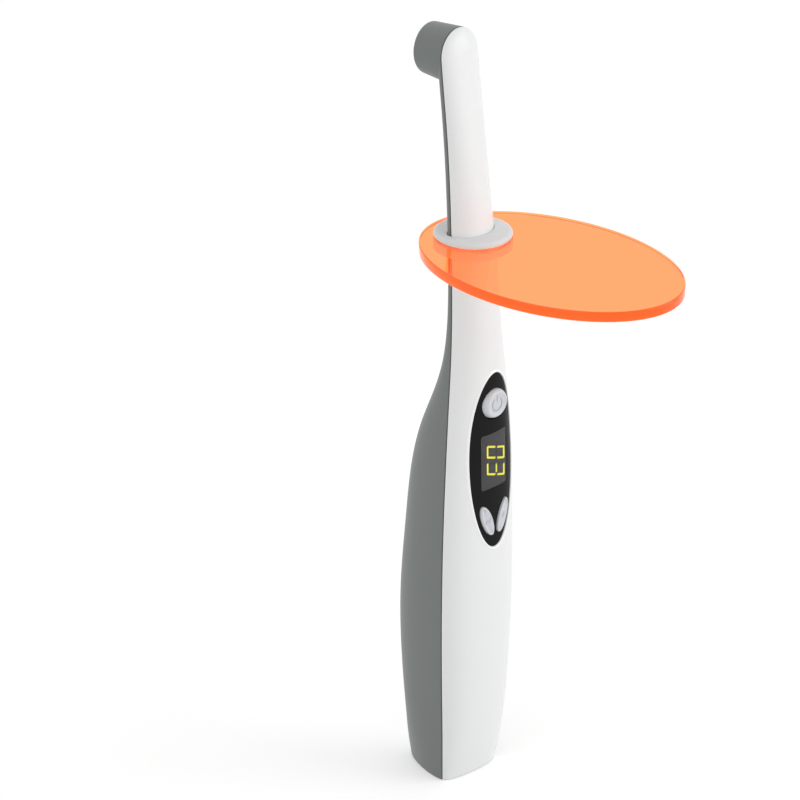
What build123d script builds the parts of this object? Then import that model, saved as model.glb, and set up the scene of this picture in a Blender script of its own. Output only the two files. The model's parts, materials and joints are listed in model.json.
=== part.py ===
from build123d import *

import math
import os

os.makedirs("parts", exist_ok=True)

# Cordless dental curing light: a two-part housing with a leaning neck and a light head,
# a control panel on the front, the electronics and one cell inside, and a sliding eye shield.
# Millimetres. The origin lies between the two charging contacts in the flat tail face.
# +Z runs up the handle, the panel faces -Y and the light head points to +Y.

# Outside of the housing
tail_half_width = 10.8
tail_front_depth = 3.0
tail_back_depth = 19.25
grip_height = 52.0
grip_half_width = 13.6
grip_front_depth = 7.75
grip_back_depth = 22.15
panel_front_depth = 7.6
waist_height = 124.0
waist_half_width = 9.45
waist_front_depth = 8.1
waist_back_depth = 6.15
neck_foot_height = 150.0
neck_foot_half_width = 7.8
neck_half_width = 7.4
neck_back_depth = 3.3
head_height = 212.8
head_radius = 7.45
head_crown = 3.2
head_lean = 4.5
front_roundness = 0.60
back_roundness = 0.66
tail_roundness = 0.30
wall = 1.5
tail_edge_round = 0.6

# Rows: height, half width, y of the seam, depth in front of the seam, depth and roundness behind it
neck_rise = head_height - neck_foot_height
sections = [
    (0.0, tail_half_width, -6.5, tail_front_depth, tail_back_depth, tail_roundness),
    (6.0, tail_half_width + 0.55, -6.95, tail_front_depth + 1.9, tail_back_depth + 0.5, 0.46),
    (14.0, tail_half_width + 1.1, -7.4, tail_front_depth + 3.3, tail_back_depth + 0.4, 0.62),
    (30.0, grip_half_width - 0.75, -8.0, grip_front_depth - 0.45, grip_back_depth - 0.95, back_roundness),
    (grip_height, grip_half_width, -8.6, grip_front_depth, grip_back_depth, back_roundness),
    (74.0, grip_half_width - 0.15, -8.95, panel_front_depth + 0.1, grip_back_depth - 1.65, back_roundness),
    (92.0, grip_half_width - 0.85, -9.15, panel_front_depth - 0.05, grip_back_depth - 3.75, back_roundness),
    (104.0, waist_half_width + 2.4, -9.05, panel_front_depth, waist_back_depth + 8.7, back_roundness),
    (114.0, waist_half_width + 1.3, -8.75, waist_front_depth - 0.2, waist_back_depth + 3.95, back_roundness),
    (waist_height, waist_half_width, -8.3, waist_front_depth, waist_back_depth, back_roundness),
    (136.0, neck_foot_half_width + 0.45, -7.7, waist_front_depth, 3.95, back_roundness),
    (neck_foot_height, neck_foot_half_width, -7.3, 7.2, neck_back_depth, back_roundness),
    (neck_foot_height + 0.35 * neck_rise, 7.45, -6.45, 5.5, neck_back_depth, back_roundness),
    (neck_foot_height + 0.70 * neck_rise, 7.3, -4.9, 4.15, neck_back_depth, back_roundness),
    (head_height - 6.8, neck_half_width, -3.8, 3.5, neck_back_depth, back_roundness),
    (head_height, head_radius, -3.2, head_crown, neck_back_depth, back_roundness),
]

# Seam between the shells
seam_gap = 0.3
tongue_height = 1.2
tongue_length = 11.0
tongue_heights = (22.0, 58.0, 92.0, 134.0, 170.0, 200.0)
tongue_outer_inset = 0.75
rebate_inset = 0.65
rebate_depth = 1.35

# Light head, measured along its own axis from the seam
barrel_length = 10.1
barrel_end_radius = 7.3
barrel_edge_round = 0.5
barrel_drop = 1.9
bore_setback = 2.0
lip_width = 1.1
lip_thickness = 0.8
lip_flare = 0.5
optic_clearance = 0.1
seal_thickness = 0.4
lens_thickness = 1.7
lens_bulge = 0.9
lens_crown_radius = 4.4
seal_width = 1.2
led_board_thickness = 1.0
reflector_length = 3.6
reflector_throat_radius = 2.6
reflector_mouth_radius = 4.9
emitter_width = 3.5
emitter_height = 0.6
emitter_dome_radius = 1.3
emitter_dome_foot = 0.3
emitter_dome_shoulder = 1.0
reflector_chamfer = 0.8
reflector_flare = (1.1, 1.5)
heat_sink_thickness = 3.0
heat_sink_chamfer = 0.8
spreader_width = 4.0
spreader_thickness = 1.2
spreader_length = 30.0
spreader_setback = 0.3
wire_flat = 3.8

# Control panel
panel_height = 95.5
panel_length = 51.5
panel_width = 17.4
panel_sink = 0.15
panel_floor = 0.8
panel_clearance = 0.1
window_length = 16.2
window_width = 10.3
window_ledge = 0.3
module_length = 15.2
module_width = 9.2
module_setback = 1.6
digit_height = 7.6
digit_width = 3.9
digit_pitch = 4.95
bar_width = 0.75
bar_thickness = 0.15
bar_gap = 0.38

# Buttons and their switches
power_height = 112.3
power_radius = 4.5
power_rim = 0.3
power_crown = 0.6
side_height = 78.1
side_offset = 3.2
side_length = 9.8
side_width = 3.6
side_slant = 22.0
side_rise = 0.55
side_edge_round = 0.4
power_edge_round = 0.3
button_clearance = 0.12
flange_margin = 0.7
side_flange_margin = 0.45
flange_thickness = 0.6
flange_setback = 2.5
stem_radius = 1.5
stem_length = 0.5
plunger_radius = 0.8
plunger_length = 1.2
plunger_clearance = 0.06
switch_width = 3.6
switch_thickness = 1.6

# Main board
board_setback = 6.1
board_thickness = 1.2
board_bottom = 68.5
board_top = 125.0
board_bottom_width = 16.4
board_top_width = 11.6
board_screw_radius = 0.8
board_screw_clearance = 0.05
screw_head_radius = 1.5
screw_head_height = 0.9
screw_head_round = 0.35
screw_slot_length = 1.8
screw_slot_width = 0.4
screw_slot_depth = 0.45
screw_length = 3.4
screw_tip_gap = 0.3
boss_radius = 1.8
lower_screw_offset = 6.3
lower_screw_height = 71.6
upper_screw_offset = 4.0
upper_screw_height = 121.5

# Parts soldered to the back of the main board
chip_height = 98.0
chip_width = 7.0
chip_thickness = 1.0
chip_chamfer = 0.2
pins_per_side = 6
pin_pitch = 0.9
pin_width = 0.35
pin_length = 1.1
pin_thickness = 0.25
inductor_height = 84.0
inductor_radius = 3.2
inductor_thickness = 3.2
inductor_waist = 0.8
inductor_flange = 0.6
capacitor_places = [(-5.6, 90.0), (5.6, 90.0), (5.6, 106.0)]
capacitor_width = 3.0
capacitor_length = 3.6
capacitor_thickness = 1.8
capacitor_edge_round = 0.3
buzzer_height = 112.0
buzzer_radius = 4.2
buzzer_thickness = 2.4
buzzer_edge_round = 0.4
buzzer_port_radius = 0.8

# Cell and its leads
cell_radius = 9.1
cell_length = 49.5
cell_bottom = 13.8
cell_y = 0.1
cell_cap_radius = 3.2
cell_cap_height = 0.8
crimp_depth = 0.5
crimp_start = 3.6
crimp_slope = 0.6
crimp_floor = 0.4
cell_shoulder = 0.4
tab_thickness = 0.3
tab_width = 5.0
tab_reach = 8.0
tab_overhang = 6.5
tab_corner = 0.8
rib_thickness = 1.2
rib_clearance = 0.15
lead_radius = 0.5
light_lead_radius = 0.4
light_lead_offset = 2.7

# Charging contacts
plate_length = 11.0
plate_width = 5.6
plate_clearance = 0.1
plate_flange = 0.8
plate_flange_thickness = 0.9
contact_radius = 1.3
contact_thickness = 0.7
contact_stem_radius = 0.7
contact_spacing = 5.6
contact_recess = 0.15
pin_clearance = 0.05
pin_end = 0.3
charge_board_length = 11.0
charge_board_width = 7.6
charge_board_thickness = 1.0

# Eye shield
shield_length = 83.0
shield_width = 56.0
shield_thickness = 3.0
shield_edge_round = 0.35
shield_reach = 28.2
collar_y = -8.6
collar_top = 162.0
collar_radius = 11.0
collar_flange = 2.0
collar_hub_radius = 9.6
collar_clearance = 0.3
collar_edge_round = 0.5


def table_value(height, column):
    # straight-line value of one column of the section table
    for low, high in zip(sections, sections[1:]):
        if height <= high[0]:
            share = (height - low[0]) / (high[0] - low[0])
            return low[column] + share * (high[column] - low[column])
    return sections[-1][column]


def front_y(height):
    return table_value(height, 2) - table_value(height, 3)


lean = math.radians(head_lean)
head_plane = Plane(
    origin=(0, sections[-1][2], head_height),
    x_dir=(1, 0, 0),
    z_dir=(0, math.sin(lean), math.cos(lean)),
)
head_axis = Axis(head_plane.origin, head_plane.y_dir)


def section_plane(height, seam_y):
    if height >= head_height:
        return head_plane
    return Plane(origin=(0, seam_y, height), x_dir=(1, 0, 0), z_dir=(0, 0, 1))


def housing(inset):
    # the whole outer form, drawn in by the inset on every side but along the head's axis
    with BuildPart() as form:
        for height, half_width, seam_y, front_depth, back_depth, roundness in sections:
            half = half_width - inset
            front = front_depth - inset
            back = back_depth - inset
            with BuildSketch(section_plane(max(height, inset), seam_y)):
                with BuildLine():
                    Bezier((-half, 0), (-half, -front * front_roundness),
                           (-half * front_roundness, -front), (0, -front))
                    Bezier((0, -front), (half * front_roundness, -front),
                           (half, -front * front_roundness), (half, 0))
                    Bezier((half, 0), (half, back * roundness), (half * roundness, back), (0, back))
                    Bezier((0, back), (-half * roundness, back), (-half, back * roundness), (-half, 0))
                make_face()
        loft()
        with BuildSketch(head_plane):
            with BuildLine():
                half = head_radius - inset
                crown = head_crown - inset
                Bezier((-half, 0), (-half, -crown * front_roundness),
                       (-half * front_roundness, -crown), (0, -crown))
                Polyline((0, -crown), (0, 0), (-half, 0))
            make_face()
        revolve(axis=head_axis, revolution_arc=180)
    return form.part


def in_front_of_seam(shift):
    # everything on the panel's side of the seam, which is moved back by the shift
    reach = 60.0
    points = [(row[2] + shift, row[0]) for row in sections]
    tail_slope = (points[1][0] - points[0][0]) / (points[1][1] - points[0][1])
    below = (points[0][0] - 5.0 * tail_slope, -5.0)
    above = (points[-1][0] + 25.0 * math.sin(lean), points[-1][1] + 25.0 * math.cos(lean))
    with BuildPart() as region:
        with BuildSketch(Plane.YZ.offset(-reach / 2)):
            with BuildLine():
                Line(below, points[0])
                Spline(*points, tangents=((tail_slope, 1), (math.sin(lean), math.cos(lean))))
                Polyline(points[-1], above, (-reach, above[1]), (-reach, below[1]), below)
            make_face()
        extrude(amount=reach)
    return region.part


def about_head_axis(points):
    # a solid turned about the head's axis from points given as radius and distance along it
    with BuildPart() as turned:
        with BuildSketch(head_plane):
            with BuildLine():
                Polyline(*points, close=True)
            make_face()
        revolve(axis=head_axis)
    return turned.part


with BuildPart() as outer:
    add(housing(0))
    fillet(outer.faces().sort_by(Axis.Z)[0].edges(), tail_edge_round)
outer_form = outer.part
cavity_form = housing(wall)
floor_form = housing(panel_floor)
sunk_form = housing(panel_sink)

# Places worked out from the sizes above
panel_y = front_y(panel_height)
seam_at_panel = table_value(panel_height, 2)
flange_y = panel_y + flange_setback
stem_end_y = flange_y + flange_thickness + stem_length
board_front_y = panel_y + board_setback
board_back_y = board_front_y + board_thickness
switch_front_y = board_front_y - switch_thickness
pilot_depth = screw_length - board_thickness + screw_tip_gap
cell_top = cell_bottom + cell_length
rib_heights = (cell_bottom + 9.0, cell_top - 8.0)
bore_radius = head_radius - wall
optic_radius = bore_radius - optic_clearance
lip_radius = bore_radius - lip_width
lip_start = barrel_length - lip_thickness
seal_start = lip_start - seal_thickness
lens_start = seal_start - lens_thickness
reflector_start = lens_start - reflector_length
led_board_start = reflector_start - led_board_thickness
sink_start = led_board_start - heat_sink_thickness
collar_bottom = collar_top - 2 * collar_flange - shield_thickness
seat_y = 0.0
board_screw_places = [
    (-lower_screw_offset, lower_screw_height),
    (lower_screw_offset, lower_screw_height),
    (-upper_screw_offset, upper_screw_height),
    (upper_screw_offset, upper_screw_height),
]
side_buttons = {"mode": -1, "time": 1}


def save(part, name):
    part.label = name
    export_step(part, f"parts/{name}.step")
    print(name, round(part.volume, 2))


def panel_outline(margin):
    # long oval, drawn on the panel's side of the seam
    with BuildSketch(Plane.XZ.offset(-seam_at_panel)) as outline:
        with Locations((0, panel_height)):
            Ellipse(panel_width / 2 + margin, panel_length / 2 + margin)
    return outline.sketch


def side_oval(side, margin):
    # outline of a slanted side button, whose top leans outwards
    with BuildSketch(Plane.XZ.offset(-seam_at_panel)) as outline:
        with Locations((side * side_offset, side_height)):
            Ellipse(side_length / 2 + margin, side_width / 2 + margin, rotation=90 - side * side_slant)
    return outline.sketch


def power_disc(margin):
    with BuildSketch(Plane.XZ.offset(-seam_at_panel)) as outline:
        with Locations((0, power_height)):
            Circle(power_radius + margin)
    return outline.sketch


def window_outline(margin):
    with BuildSketch(Plane.XZ.offset(-seam_at_panel)) as outline:
        with Locations((0, panel_height)):
            RectangleRounded(window_width + 2 * margin, window_length + 2 * margin, 0.6)
    return outline.sketch


# Openings for the buttons, through the front wall and the panel
with BuildPart() as button_holes:
    extrude(power_disc(button_clearance), amount=20)
    for side in side_buttons.values():
        extrude(side_oval(side, button_clearance), amount=20)

# Ribs that hold the cell, hollowed to its radius
with BuildPart() as front_ribs:
    for height in rib_heights:
        with Locations((0, -20, height)):
            Box(10, 40, rib_thickness)
    with Locations((0, cell_y, 0)):
        Cylinder(cell_radius + rib_clearance, 400, mode=Mode.SUBTRACT)
with BuildPart() as back_ribs:
    for height in rib_heights:
        with Locations((0, 21, height)):
            Box(60, 40, rib_thickness)
    with Locations((0, cell_y, 0)):
        Cylinder(cell_radius + rib_clearance, 400, mode=Mode.SUBTRACT)

# Hollow of the front shell: the cavity less the screw bosses and the ribs
with BuildPart() as front_hollow:
    add(cavity_form)
    with BuildSketch(Plane.XZ.offset(-board_front_y)):
        with Locations(*board_screw_places):
            Circle(boss_radius)
    extrude(amount=30, mode=Mode.SUBTRACT)
    with BuildSketch(Plane.XZ.offset(-board_front_y)):
        with Locations(*board_screw_places):
            Circle(board_screw_radius + board_screw_clearance)
    extrude(amount=pilot_depth)
    add(front_ribs.part, mode=Mode.SUBTRACT)

# Rebate inside the front shell's edge, which the back shell's tongues enter
with BuildPart() as rebate:
    add(housing(rebate_inset))
    add(in_front_of_seam(-seam_gap / 2 - rebate_depth), mode=Mode.SUBTRACT)

# White front shell with the panel's recess
with BuildPart() as panel_recess:
    add(outer_form)
    add(floor_form, mode=Mode.SUBTRACT)
    extrude(panel_outline(panel_clearance), amount=20, mode=Mode.INTERSECT)
with BuildPart() as front_shell:
    add(outer_form)
    add(in_front_of_seam(-seam_gap / 2), mode=Mode.INTERSECT)
    add(front_hollow.part, mode=Mode.SUBTRACT)
    add(rebate.part, mode=Mode.SUBTRACT)
    add(panel_recess.part, mode=Mode.SUBTRACT)
    extrude(window_outline(-window_ledge), amount=20, mode=Mode.SUBTRACT)
    add(button_holes.part, mode=Mode.SUBTRACT)
save(front_shell.part, "front_shell")

# Stadium-shaped opening in the tail for the contact plate
with BuildPart() as tail_opening:
    with BuildSketch(Plane.XY):
        with Locations((0, seat_y)):
            SlotOverall(plate_length + 2 * plate_clearance, plate_width + 2 * plate_clearance)
    extrude(amount=2 * wall)

# Pairs of tongues along the seam, which hold the shells together
with BuildPart() as tongues:
    for height in tongue_heights:
        with Locations((0, table_value(height, 2), height)):
            Box(4 * grip_half_width, 4 * tongue_height, tongue_length)
    add(housing(tongue_outer_inset), mode=Mode.INTERSECT)
    add(in_front_of_seam(seam_gap), mode=Mode.INTERSECT)
    add(in_front_of_seam(-seam_gap / 2 - tongue_height), mode=Mode.SUBTRACT)

# Grey back shell with the light head's barrel, the tongues and the cell's ribs. The barrel is round
# at its end and deeper towards the neck.
barrel_ends = [(-seam_gap, head_radius, barrel_drop), (barrel_length, barrel_end_radius, 0)]
with BuildPart() as barrel:
    for distance, radius, drop in barrel_ends:
        centre = head_plane.origin + head_plane.y_dir * distance
        with BuildSketch(Plane(centre, x_dir=(1, 0, 0), z_dir=head_plane.y_dir)):
            with BuildLine():
                ThreePointArc((-radius, 0), (0, -radius), (radius, 0))
                EllipticalCenterArc((0, 0), radius, radius + drop, start_angle=0, arc_size=180)
            make_face()
    loft()
    fillet(barrel.faces().sort_by(head_axis)[-1].edges(), barrel_edge_round)
with BuildPart() as back_hollow:
    add(cavity_form)
    add(back_ribs.part, mode=Mode.SUBTRACT)
    add(about_head_axis([(0, -bore_setback), (bore_radius, -bore_setback), (bore_radius, lip_start),
                         (0, lip_start)]))
with BuildPart() as back_shell:
    add(outer_form)
    add(barrel.part)
    add(in_front_of_seam(seam_gap / 2), mode=Mode.SUBTRACT)
    add(tongues.part)
    add(back_hollow.part, mode=Mode.SUBTRACT)
    add(about_head_axis([(0, lip_start - 0.1), (lip_radius, lip_start - 0.1), (lip_radius, lip_start),
                         (lip_radius + lip_flare, barrel_length + 0.1), (0, barrel_length + 0.1)]),
        mode=Mode.SUBTRACT)
    add(tail_opening.part, mode=Mode.SUBTRACT)
save(back_shell.part, "back_shell")

# Glossy panel plate, the window set in it and the display behind
with BuildPart() as control_panel:
    add(sunk_form)
    add(floor_form, mode=Mode.SUBTRACT)
    extrude(panel_outline(0), amount=20, mode=Mode.INTERSECT)
    extrude(window_outline(0), amount=20, mode=Mode.SUBTRACT)
    add(button_holes.part, mode=Mode.SUBTRACT)
save(control_panel.part, "control_panel")

with BuildPart() as display_window:
    add(sunk_form)
    add(floor_form, mode=Mode.SUBTRACT)
    extrude(window_outline(0), amount=20, mode=Mode.INTERSECT)
save(display_window.part, "display_window")

module_face_y = panel_y + module_setback
with BuildPart() as display_module:
    with BuildSketch(Plane.XZ.offset(-board_front_y)):
        with Locations((0, panel_height)):
            RectangleRounded(module_width, module_length, 0.4)
    extrude(amount=board_front_y - module_face_y)
save(display_module.part, "display_module")


def digit_bars(centre_height, names):
    # bars of one digit lying on its side, with its top towards +X
    across = digit_height / 2 - bar_width / 2
    along = digit_width / 2 - bar_width / 2
    places = {
        "a": (across, 0, False), "g": (0, 0, False), "d": (-across, 0, False),
        "f": (across / 2, along, True), "b": (across / 2, -along, True),
        "e": (-across / 2, along, True), "c": (-across / 2, -along, True),
    }
    for name in names:
        x, z, lies_across = places[name]
        length = (across if lies_across else 2 * along) - bar_gap
        with Locations((x, centre_height + z)):
            SlotOverall(length, bar_width * 0.8, rotation=0 if lies_across else 90)


bar_layers = {"lit_bars": ("abcdef", "abcdg"), "dark_bars": ("g", "ef")}
for layer, (first, second) in bar_layers.items():
    with BuildPart() as bars:
        with BuildSketch(Plane.XZ.offset(-module_face_y)):
            digit_bars(panel_height + digit_pitch / 2, first)
            digit_bars(panel_height - digit_pitch / 2, second)
        extrude(amount=bar_thickness)
    save(bars.part, layer)

# Power button: a crowned disc with a flange behind the panel and a stem to its switch
button_profile = Plane(origin=(0, 0, power_height), x_dir=(1, 0, 0), z_dir=(0, 0, 1))
with BuildPart() as power_button:
    with BuildSketch(button_profile):
        with BuildLine():
            flange_radius = power_radius + flange_margin
            rim_y = panel_y - power_rim
            crown_y = rim_y - power_crown
            Bezier((0, crown_y), (power_radius / 2, crown_y), (power_radius, rim_y))
            Polyline((power_radius, rim_y), (power_radius, flange_y), (flange_radius, flange_y),
                     (flange_radius, flange_y + flange_thickness),
                     (stem_radius, flange_y + flange_thickness), (stem_radius, stem_end_y),
                     (0, stem_end_y), (0, crown_y))
        make_face()
    revolve(axis=Axis((0, 0, power_height), (0, 1, 0)))
    rim_edges = power_button.edges().filter_by(lambda edge: edge.length > 6 * power_radius)
    fillet(rim_edges.sort_by(Axis.Y)[0], power_edge_round)
save(power_button.part, "power_button")

# Side buttons: slanted ovals that stand a little above the panel and follow its curve
raised_form = housing(-side_rise)
for name, side in side_buttons.items():
    with BuildPart() as side_button:
        add(raised_form)
        extrude(side_oval(side, 0), amount=20, mode=Mode.INTERSECT)
        with Locations((0, flange_y + 50, side_height)):
            Box(100, 100, 100, mode=Mode.SUBTRACT)
        fillet(side_button.faces().sort_by(Axis.Y)[0].edges(), side_edge_round)
        with BuildSketch(Plane.XZ.offset(-flange_y)):
            with Locations((side * side_offset, side_height)):
                Ellipse(side_length / 2 + side_flange_margin, side_width / 2 + side_flange_margin,
                        rotation=90 - side * side_slant)
        extrude(amount=-flange_thickness)
        with BuildSketch(Plane.XZ.offset(-flange_y - flange_thickness)):
            with Locations((side * side_offset, side_height)):
                Circle(stem_radius)
        extrude(amount=-stem_length)
    save(side_button.part, f"{name}_button")

# Under each button: a tact switch on the board and the plunger that the button pushes
button_places = {
    "power": (0, power_height),
    "mode": (-side_offset, side_height),
    "time": (side_offset, side_height),
}
for name, place in button_places.items():
    with BuildPart() as plunger:
        with BuildSketch(Plane.XZ.offset(-stem_end_y)):
            with Locations(place):
                Circle(plunger_radius)
        extrude(amount=-plunger_length)
    save(plunger.part, f"{name}_plunger")
    with BuildPart() as switch:
        with BuildSketch(Plane.XZ.offset(-board_front_y)):
            with Locations(place):
                Rectangle(switch_width, switch_width)
        extrude(amount=switch_thickness)
        with BuildSketch(Plane.XZ.offset(-switch_front_y)):
            with Locations(place):
                Circle(plunger_radius + plunger_clearance)
        extrude(amount=-switch_thickness + 0.2, mode=Mode.SUBTRACT)
    save(switch.part, f"{name}_switch")

# Main board, its screws and the parts soldered to its back
with BuildPart() as main_board:
    with BuildSketch(Plane.XZ.offset(-board_back_y)) as board_outline:
        with BuildLine():
            Polyline((-board_bottom_width / 2, board_bottom), (board_bottom_width / 2, board_bottom),
                     (board_bottom_width / 2, power_height - 6), (board_top_width / 2, power_height + 2),
                     (board_top_width / 2, board_top), (-board_top_width / 2, board_top),
                     (-board_top_width / 2, power_height + 2), (-board_bottom_width / 2, power_height - 6),
                     close=True)
        make_face()
        fillet(board_outline.vertices(), 0.8)
        with Locations(*board_screw_places):
            Circle(board_screw_radius + board_screw_clearance, mode=Mode.SUBTRACT)
    extrude(amount=board_thickness)
save(main_board.part, "main_board")

with BuildPart() as board_screws:
    with BuildSketch(Plane.XZ.offset(-board_back_y)):
        with Locations(*board_screw_places):
            Circle(board_screw_radius)
    extrude(amount=screw_length)
    with BuildSketch(Plane.XZ.offset(-board_back_y)):
        with Locations(*board_screw_places):
            Circle(screw_head_radius)
    extrude(amount=-screw_head_height)
    fillet(board_screws.edges().filter_by(GeomType.CIRCLE).group_by(Axis.Y)[-1], screw_head_round)
    with BuildSketch(Plane.XZ.offset(-board_back_y - screw_head_height)):
        with Locations(*board_screw_places):
            Rectangle(screw_slot_length, screw_slot_width)
            Rectangle(screw_slot_width, screw_slot_length)
    extrude(amount=screw_slot_depth, mode=Mode.SUBTRACT)
save(board_screws.part, "board_screws")

with BuildPart() as controller_chip:
    with BuildSketch(Plane.XZ.offset(-board_back_y)):
        with Locations((0, chip_height)):
            Rectangle(chip_width, chip_width)
    extrude(amount=-chip_thickness)
    chamfer(controller_chip.faces().sort_by(Axis.Y)[-1].edges(), chip_chamfer)
    with BuildSketch(Plane.XZ.offset(-board_back_y)):
        with Locations((0, chip_height)):
            with GridLocations(pin_pitch, pin_length + chip_width, pins_per_side, 2):
                Rectangle(pin_width, pin_length)
            with GridLocations(pin_length + chip_width, pin_pitch, 2, pins_per_side):
                Rectangle(pin_length, pin_width)
    extrude(amount=-pin_thickness)
save(controller_chip.part, "controller_chip")

with BuildPart() as driver_inductor:
    with BuildSketch(Plane((0, 0, inductor_height), x_dir=(1, 0, 0), z_dir=(0, 0, 1))):
        with Locations((inductor_radius / 2, board_back_y + inductor_thickness / 2)):
            Rectangle(inductor_radius, inductor_thickness)
        with Locations((inductor_radius, board_back_y + inductor_thickness / 2)):
            Rectangle(2 * inductor_waist, inductor_thickness - 2 * inductor_flange, mode=Mode.SUBTRACT)
    revolve(axis=Axis((0, 0, inductor_height), (0, 1, 0)))
save(driver_inductor.part, "driver_inductor")

with BuildPart() as capacitors:
    with BuildSketch(Plane.XZ.offset(-board_back_y)):
        with Locations(*capacitor_places):
            Rectangle(capacitor_width, capacitor_length)
    extrude(amount=-capacitor_thickness)
    fillet(capacitors.faces().group_by(Axis.Y)[-1].edges(), capacitor_edge_round)
save(capacitors.part, "capacitors")

with BuildPart() as buzzer:
    with BuildSketch(Plane.XZ.offset(-board_back_y)):
        with Locations((0, buzzer_height)):
            Circle(buzzer_radius)
    extrude(amount=-buzzer_thickness)
    fillet(buzzer.edges().filter_by(GeomType.CIRCLE).sort_by(Axis.Y)[-1], buzzer_edge_round)
    with BuildSketch(Plane.XZ.offset(-board_back_y - buzzer_thickness)):
        with Locations((0, buzzer_height)):
            Circle(buzzer_port_radius)
    extrude(amount=buzzer_port_radius, mode=Mode.SUBTRACT)
save(buzzer.part, "buzzer")

# Cell with its crimp and cap, the two tabs welded to it
with BuildPart() as battery_cell:
    with BuildSketch(Plane((0, cell_y, 0), x_dir=(1, 0, 0), z_dir=(0, -1, 0))):
        with BuildLine():
            crimp_low = cell_top - crimp_start
            crimp_high = crimp_low + 2 * crimp_slope + crimp_floor
            crimp_radius = cell_radius - crimp_depth
            Polyline((0, cell_bottom), (cell_radius, cell_bottom), (cell_radius, crimp_low),
                     (crimp_radius, crimp_low + crimp_slope), (crimp_radius, crimp_high - crimp_slope),
                     (cell_radius, crimp_high), (cell_radius, cell_top - cell_shoulder),
                     (cell_radius - cell_shoulder, cell_top), (cell_cap_radius, cell_top),
                     (cell_cap_radius, cell_top + cell_cap_height), (0, cell_top + cell_cap_height),
                     close=True)
        make_face()
    revolve(axis=Axis((0, cell_y, 0), (0, 0, 1)))
save(battery_cell.part, "battery_cell")

tab_places = {"positive_tab": cell_top + cell_cap_height, "negative_tab": cell_bottom - tab_thickness}
for name, height in tab_places.items():
    with BuildPart() as tab:
        with BuildSketch(Plane.XY.offset(height)):
            with Locations((0, cell_y - tab_overhang + tab_reach / 2)):
                RectangleRounded(tab_width, tab_reach, tab_corner)
        extrude(amount=tab_thickness)
    save(tab.part, name)

# Contact plate in the tail, two sprung contacts and the charging board that holds them
with BuildPart() as contact_plate:
    with BuildSketch(Plane.XY):
        with Locations((0, seat_y)):
            SlotOverall(plate_length, plate_width)
    extrude(amount=wall)
    with BuildSketch(Plane.XY.offset(wall)):
        with Locations((0, seat_y)):
            SlotOverall(plate_length + 2 * plate_flange, plate_width + 2 * plate_flange)
    extrude(amount=plate_flange_thickness)
    with BuildSketch(Plane.XY):
        with Locations((0, seat_y)):
            with GridLocations(contact_spacing, 1, 2, 1):
                Circle(contact_radius + pin_clearance)
    extrude(amount=contact_recess + contact_thickness, mode=Mode.SUBTRACT)
    with BuildSketch(Plane.XY):
        with Locations((0, seat_y)):
            with GridLocations(contact_spacing, 1, 2, 1):
                Circle(contact_stem_radius + pin_clearance)
    extrude(amount=10, mode=Mode.SUBTRACT)
save(contact_plate.part, "contact_plate")

charge_board_bottom = wall + plate_flange_thickness
with BuildPart() as charge_contacts:
    with BuildSketch(Plane.XY.offset(contact_recess)):
        with Locations((0, seat_y)):
            with GridLocations(contact_spacing, 1, 2, 1):
                Circle(contact_radius)
    extrude(amount=contact_thickness)
    with BuildSketch(Plane.XY.offset(contact_recess)):
        with Locations((0, seat_y)):
            with GridLocations(contact_spacing, 1, 2, 1):
                Circle(contact_stem_radius)
    extrude(amount=charge_board_bottom + charge_board_thickness - contact_recess + pin_end)
save(charge_contacts.part, "charge_contacts")

with BuildPart() as charge_board:
    with BuildSketch(Plane.XY.offset(charge_board_bottom)):
        with Locations((0, seat_y)):
            RectangleRounded(charge_board_length, charge_board_width, 1.0)
            with GridLocations(contact_spacing, 1, 2, 1):
                Circle(contact_stem_radius + pin_clearance, mode=Mode.SUBTRACT)
    extrude(amount=charge_board_thickness)
save(charge_board.part, "charge_board")

# Light source in the head: heat sink with its spreader, board, emitter, reflector, lens, seal
with BuildPart() as heat_sink:
    add(about_head_axis([(0, sink_start), (optic_radius - heat_sink_chamfer, sink_start),
                         (optic_radius, sink_start + heat_sink_chamfer), (optic_radius, led_board_start),
                         (0, led_board_start)]))
    with BuildSketch(head_plane.offset(-spreader_length)):
        with Locations((0, sink_start + spreader_setback - spreader_thickness / 2)):
            Rectangle(spreader_width, spreader_thickness)
    extrude(amount=spreader_length - wire_flat + 1)
    with BuildSketch(head_plane.offset(-wire_flat)):
        with Locations((0, 5 + sink_start + spreader_setback)):
            Rectangle(30, 10)
    extrude(amount=-10, mode=Mode.SUBTRACT)
save(heat_sink.part, "heat_sink")

with BuildPart() as led_board:
    add(about_head_axis([(0, led_board_start), (optic_radius, led_board_start),
                         (optic_radius, reflector_start), (0, reflector_start)]))
    with BuildSketch(head_plane.offset(-wire_flat)):
        Rectangle(30, 30)
    extrude(amount=-10, mode=Mode.SUBTRACT)
save(led_board.part, "led_board")

emitter_plane = Plane(origin=head_plane.origin + head_plane.y_dir * reflector_start, x_dir=(1, 0, 0),
                      z_dir=head_plane.y_dir)
with BuildPart() as led_emitter:
    with BuildSketch(emitter_plane):
        RectangleRounded(emitter_width, emitter_width, 0.3)
    extrude(amount=emitter_height)
    dome_start = reflector_start + emitter_height
    add(about_head_axis([(0, reflector_start), (emitter_dome_radius, reflector_start),
                         (emitter_dome_radius, dome_start + emitter_dome_foot),
                         (emitter_dome_radius * 0.7, dome_start + emitter_dome_shoulder),
                         (0, dome_start + emitter_dome_radius)]))
save(led_emitter.part, "led_emitter")

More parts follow.
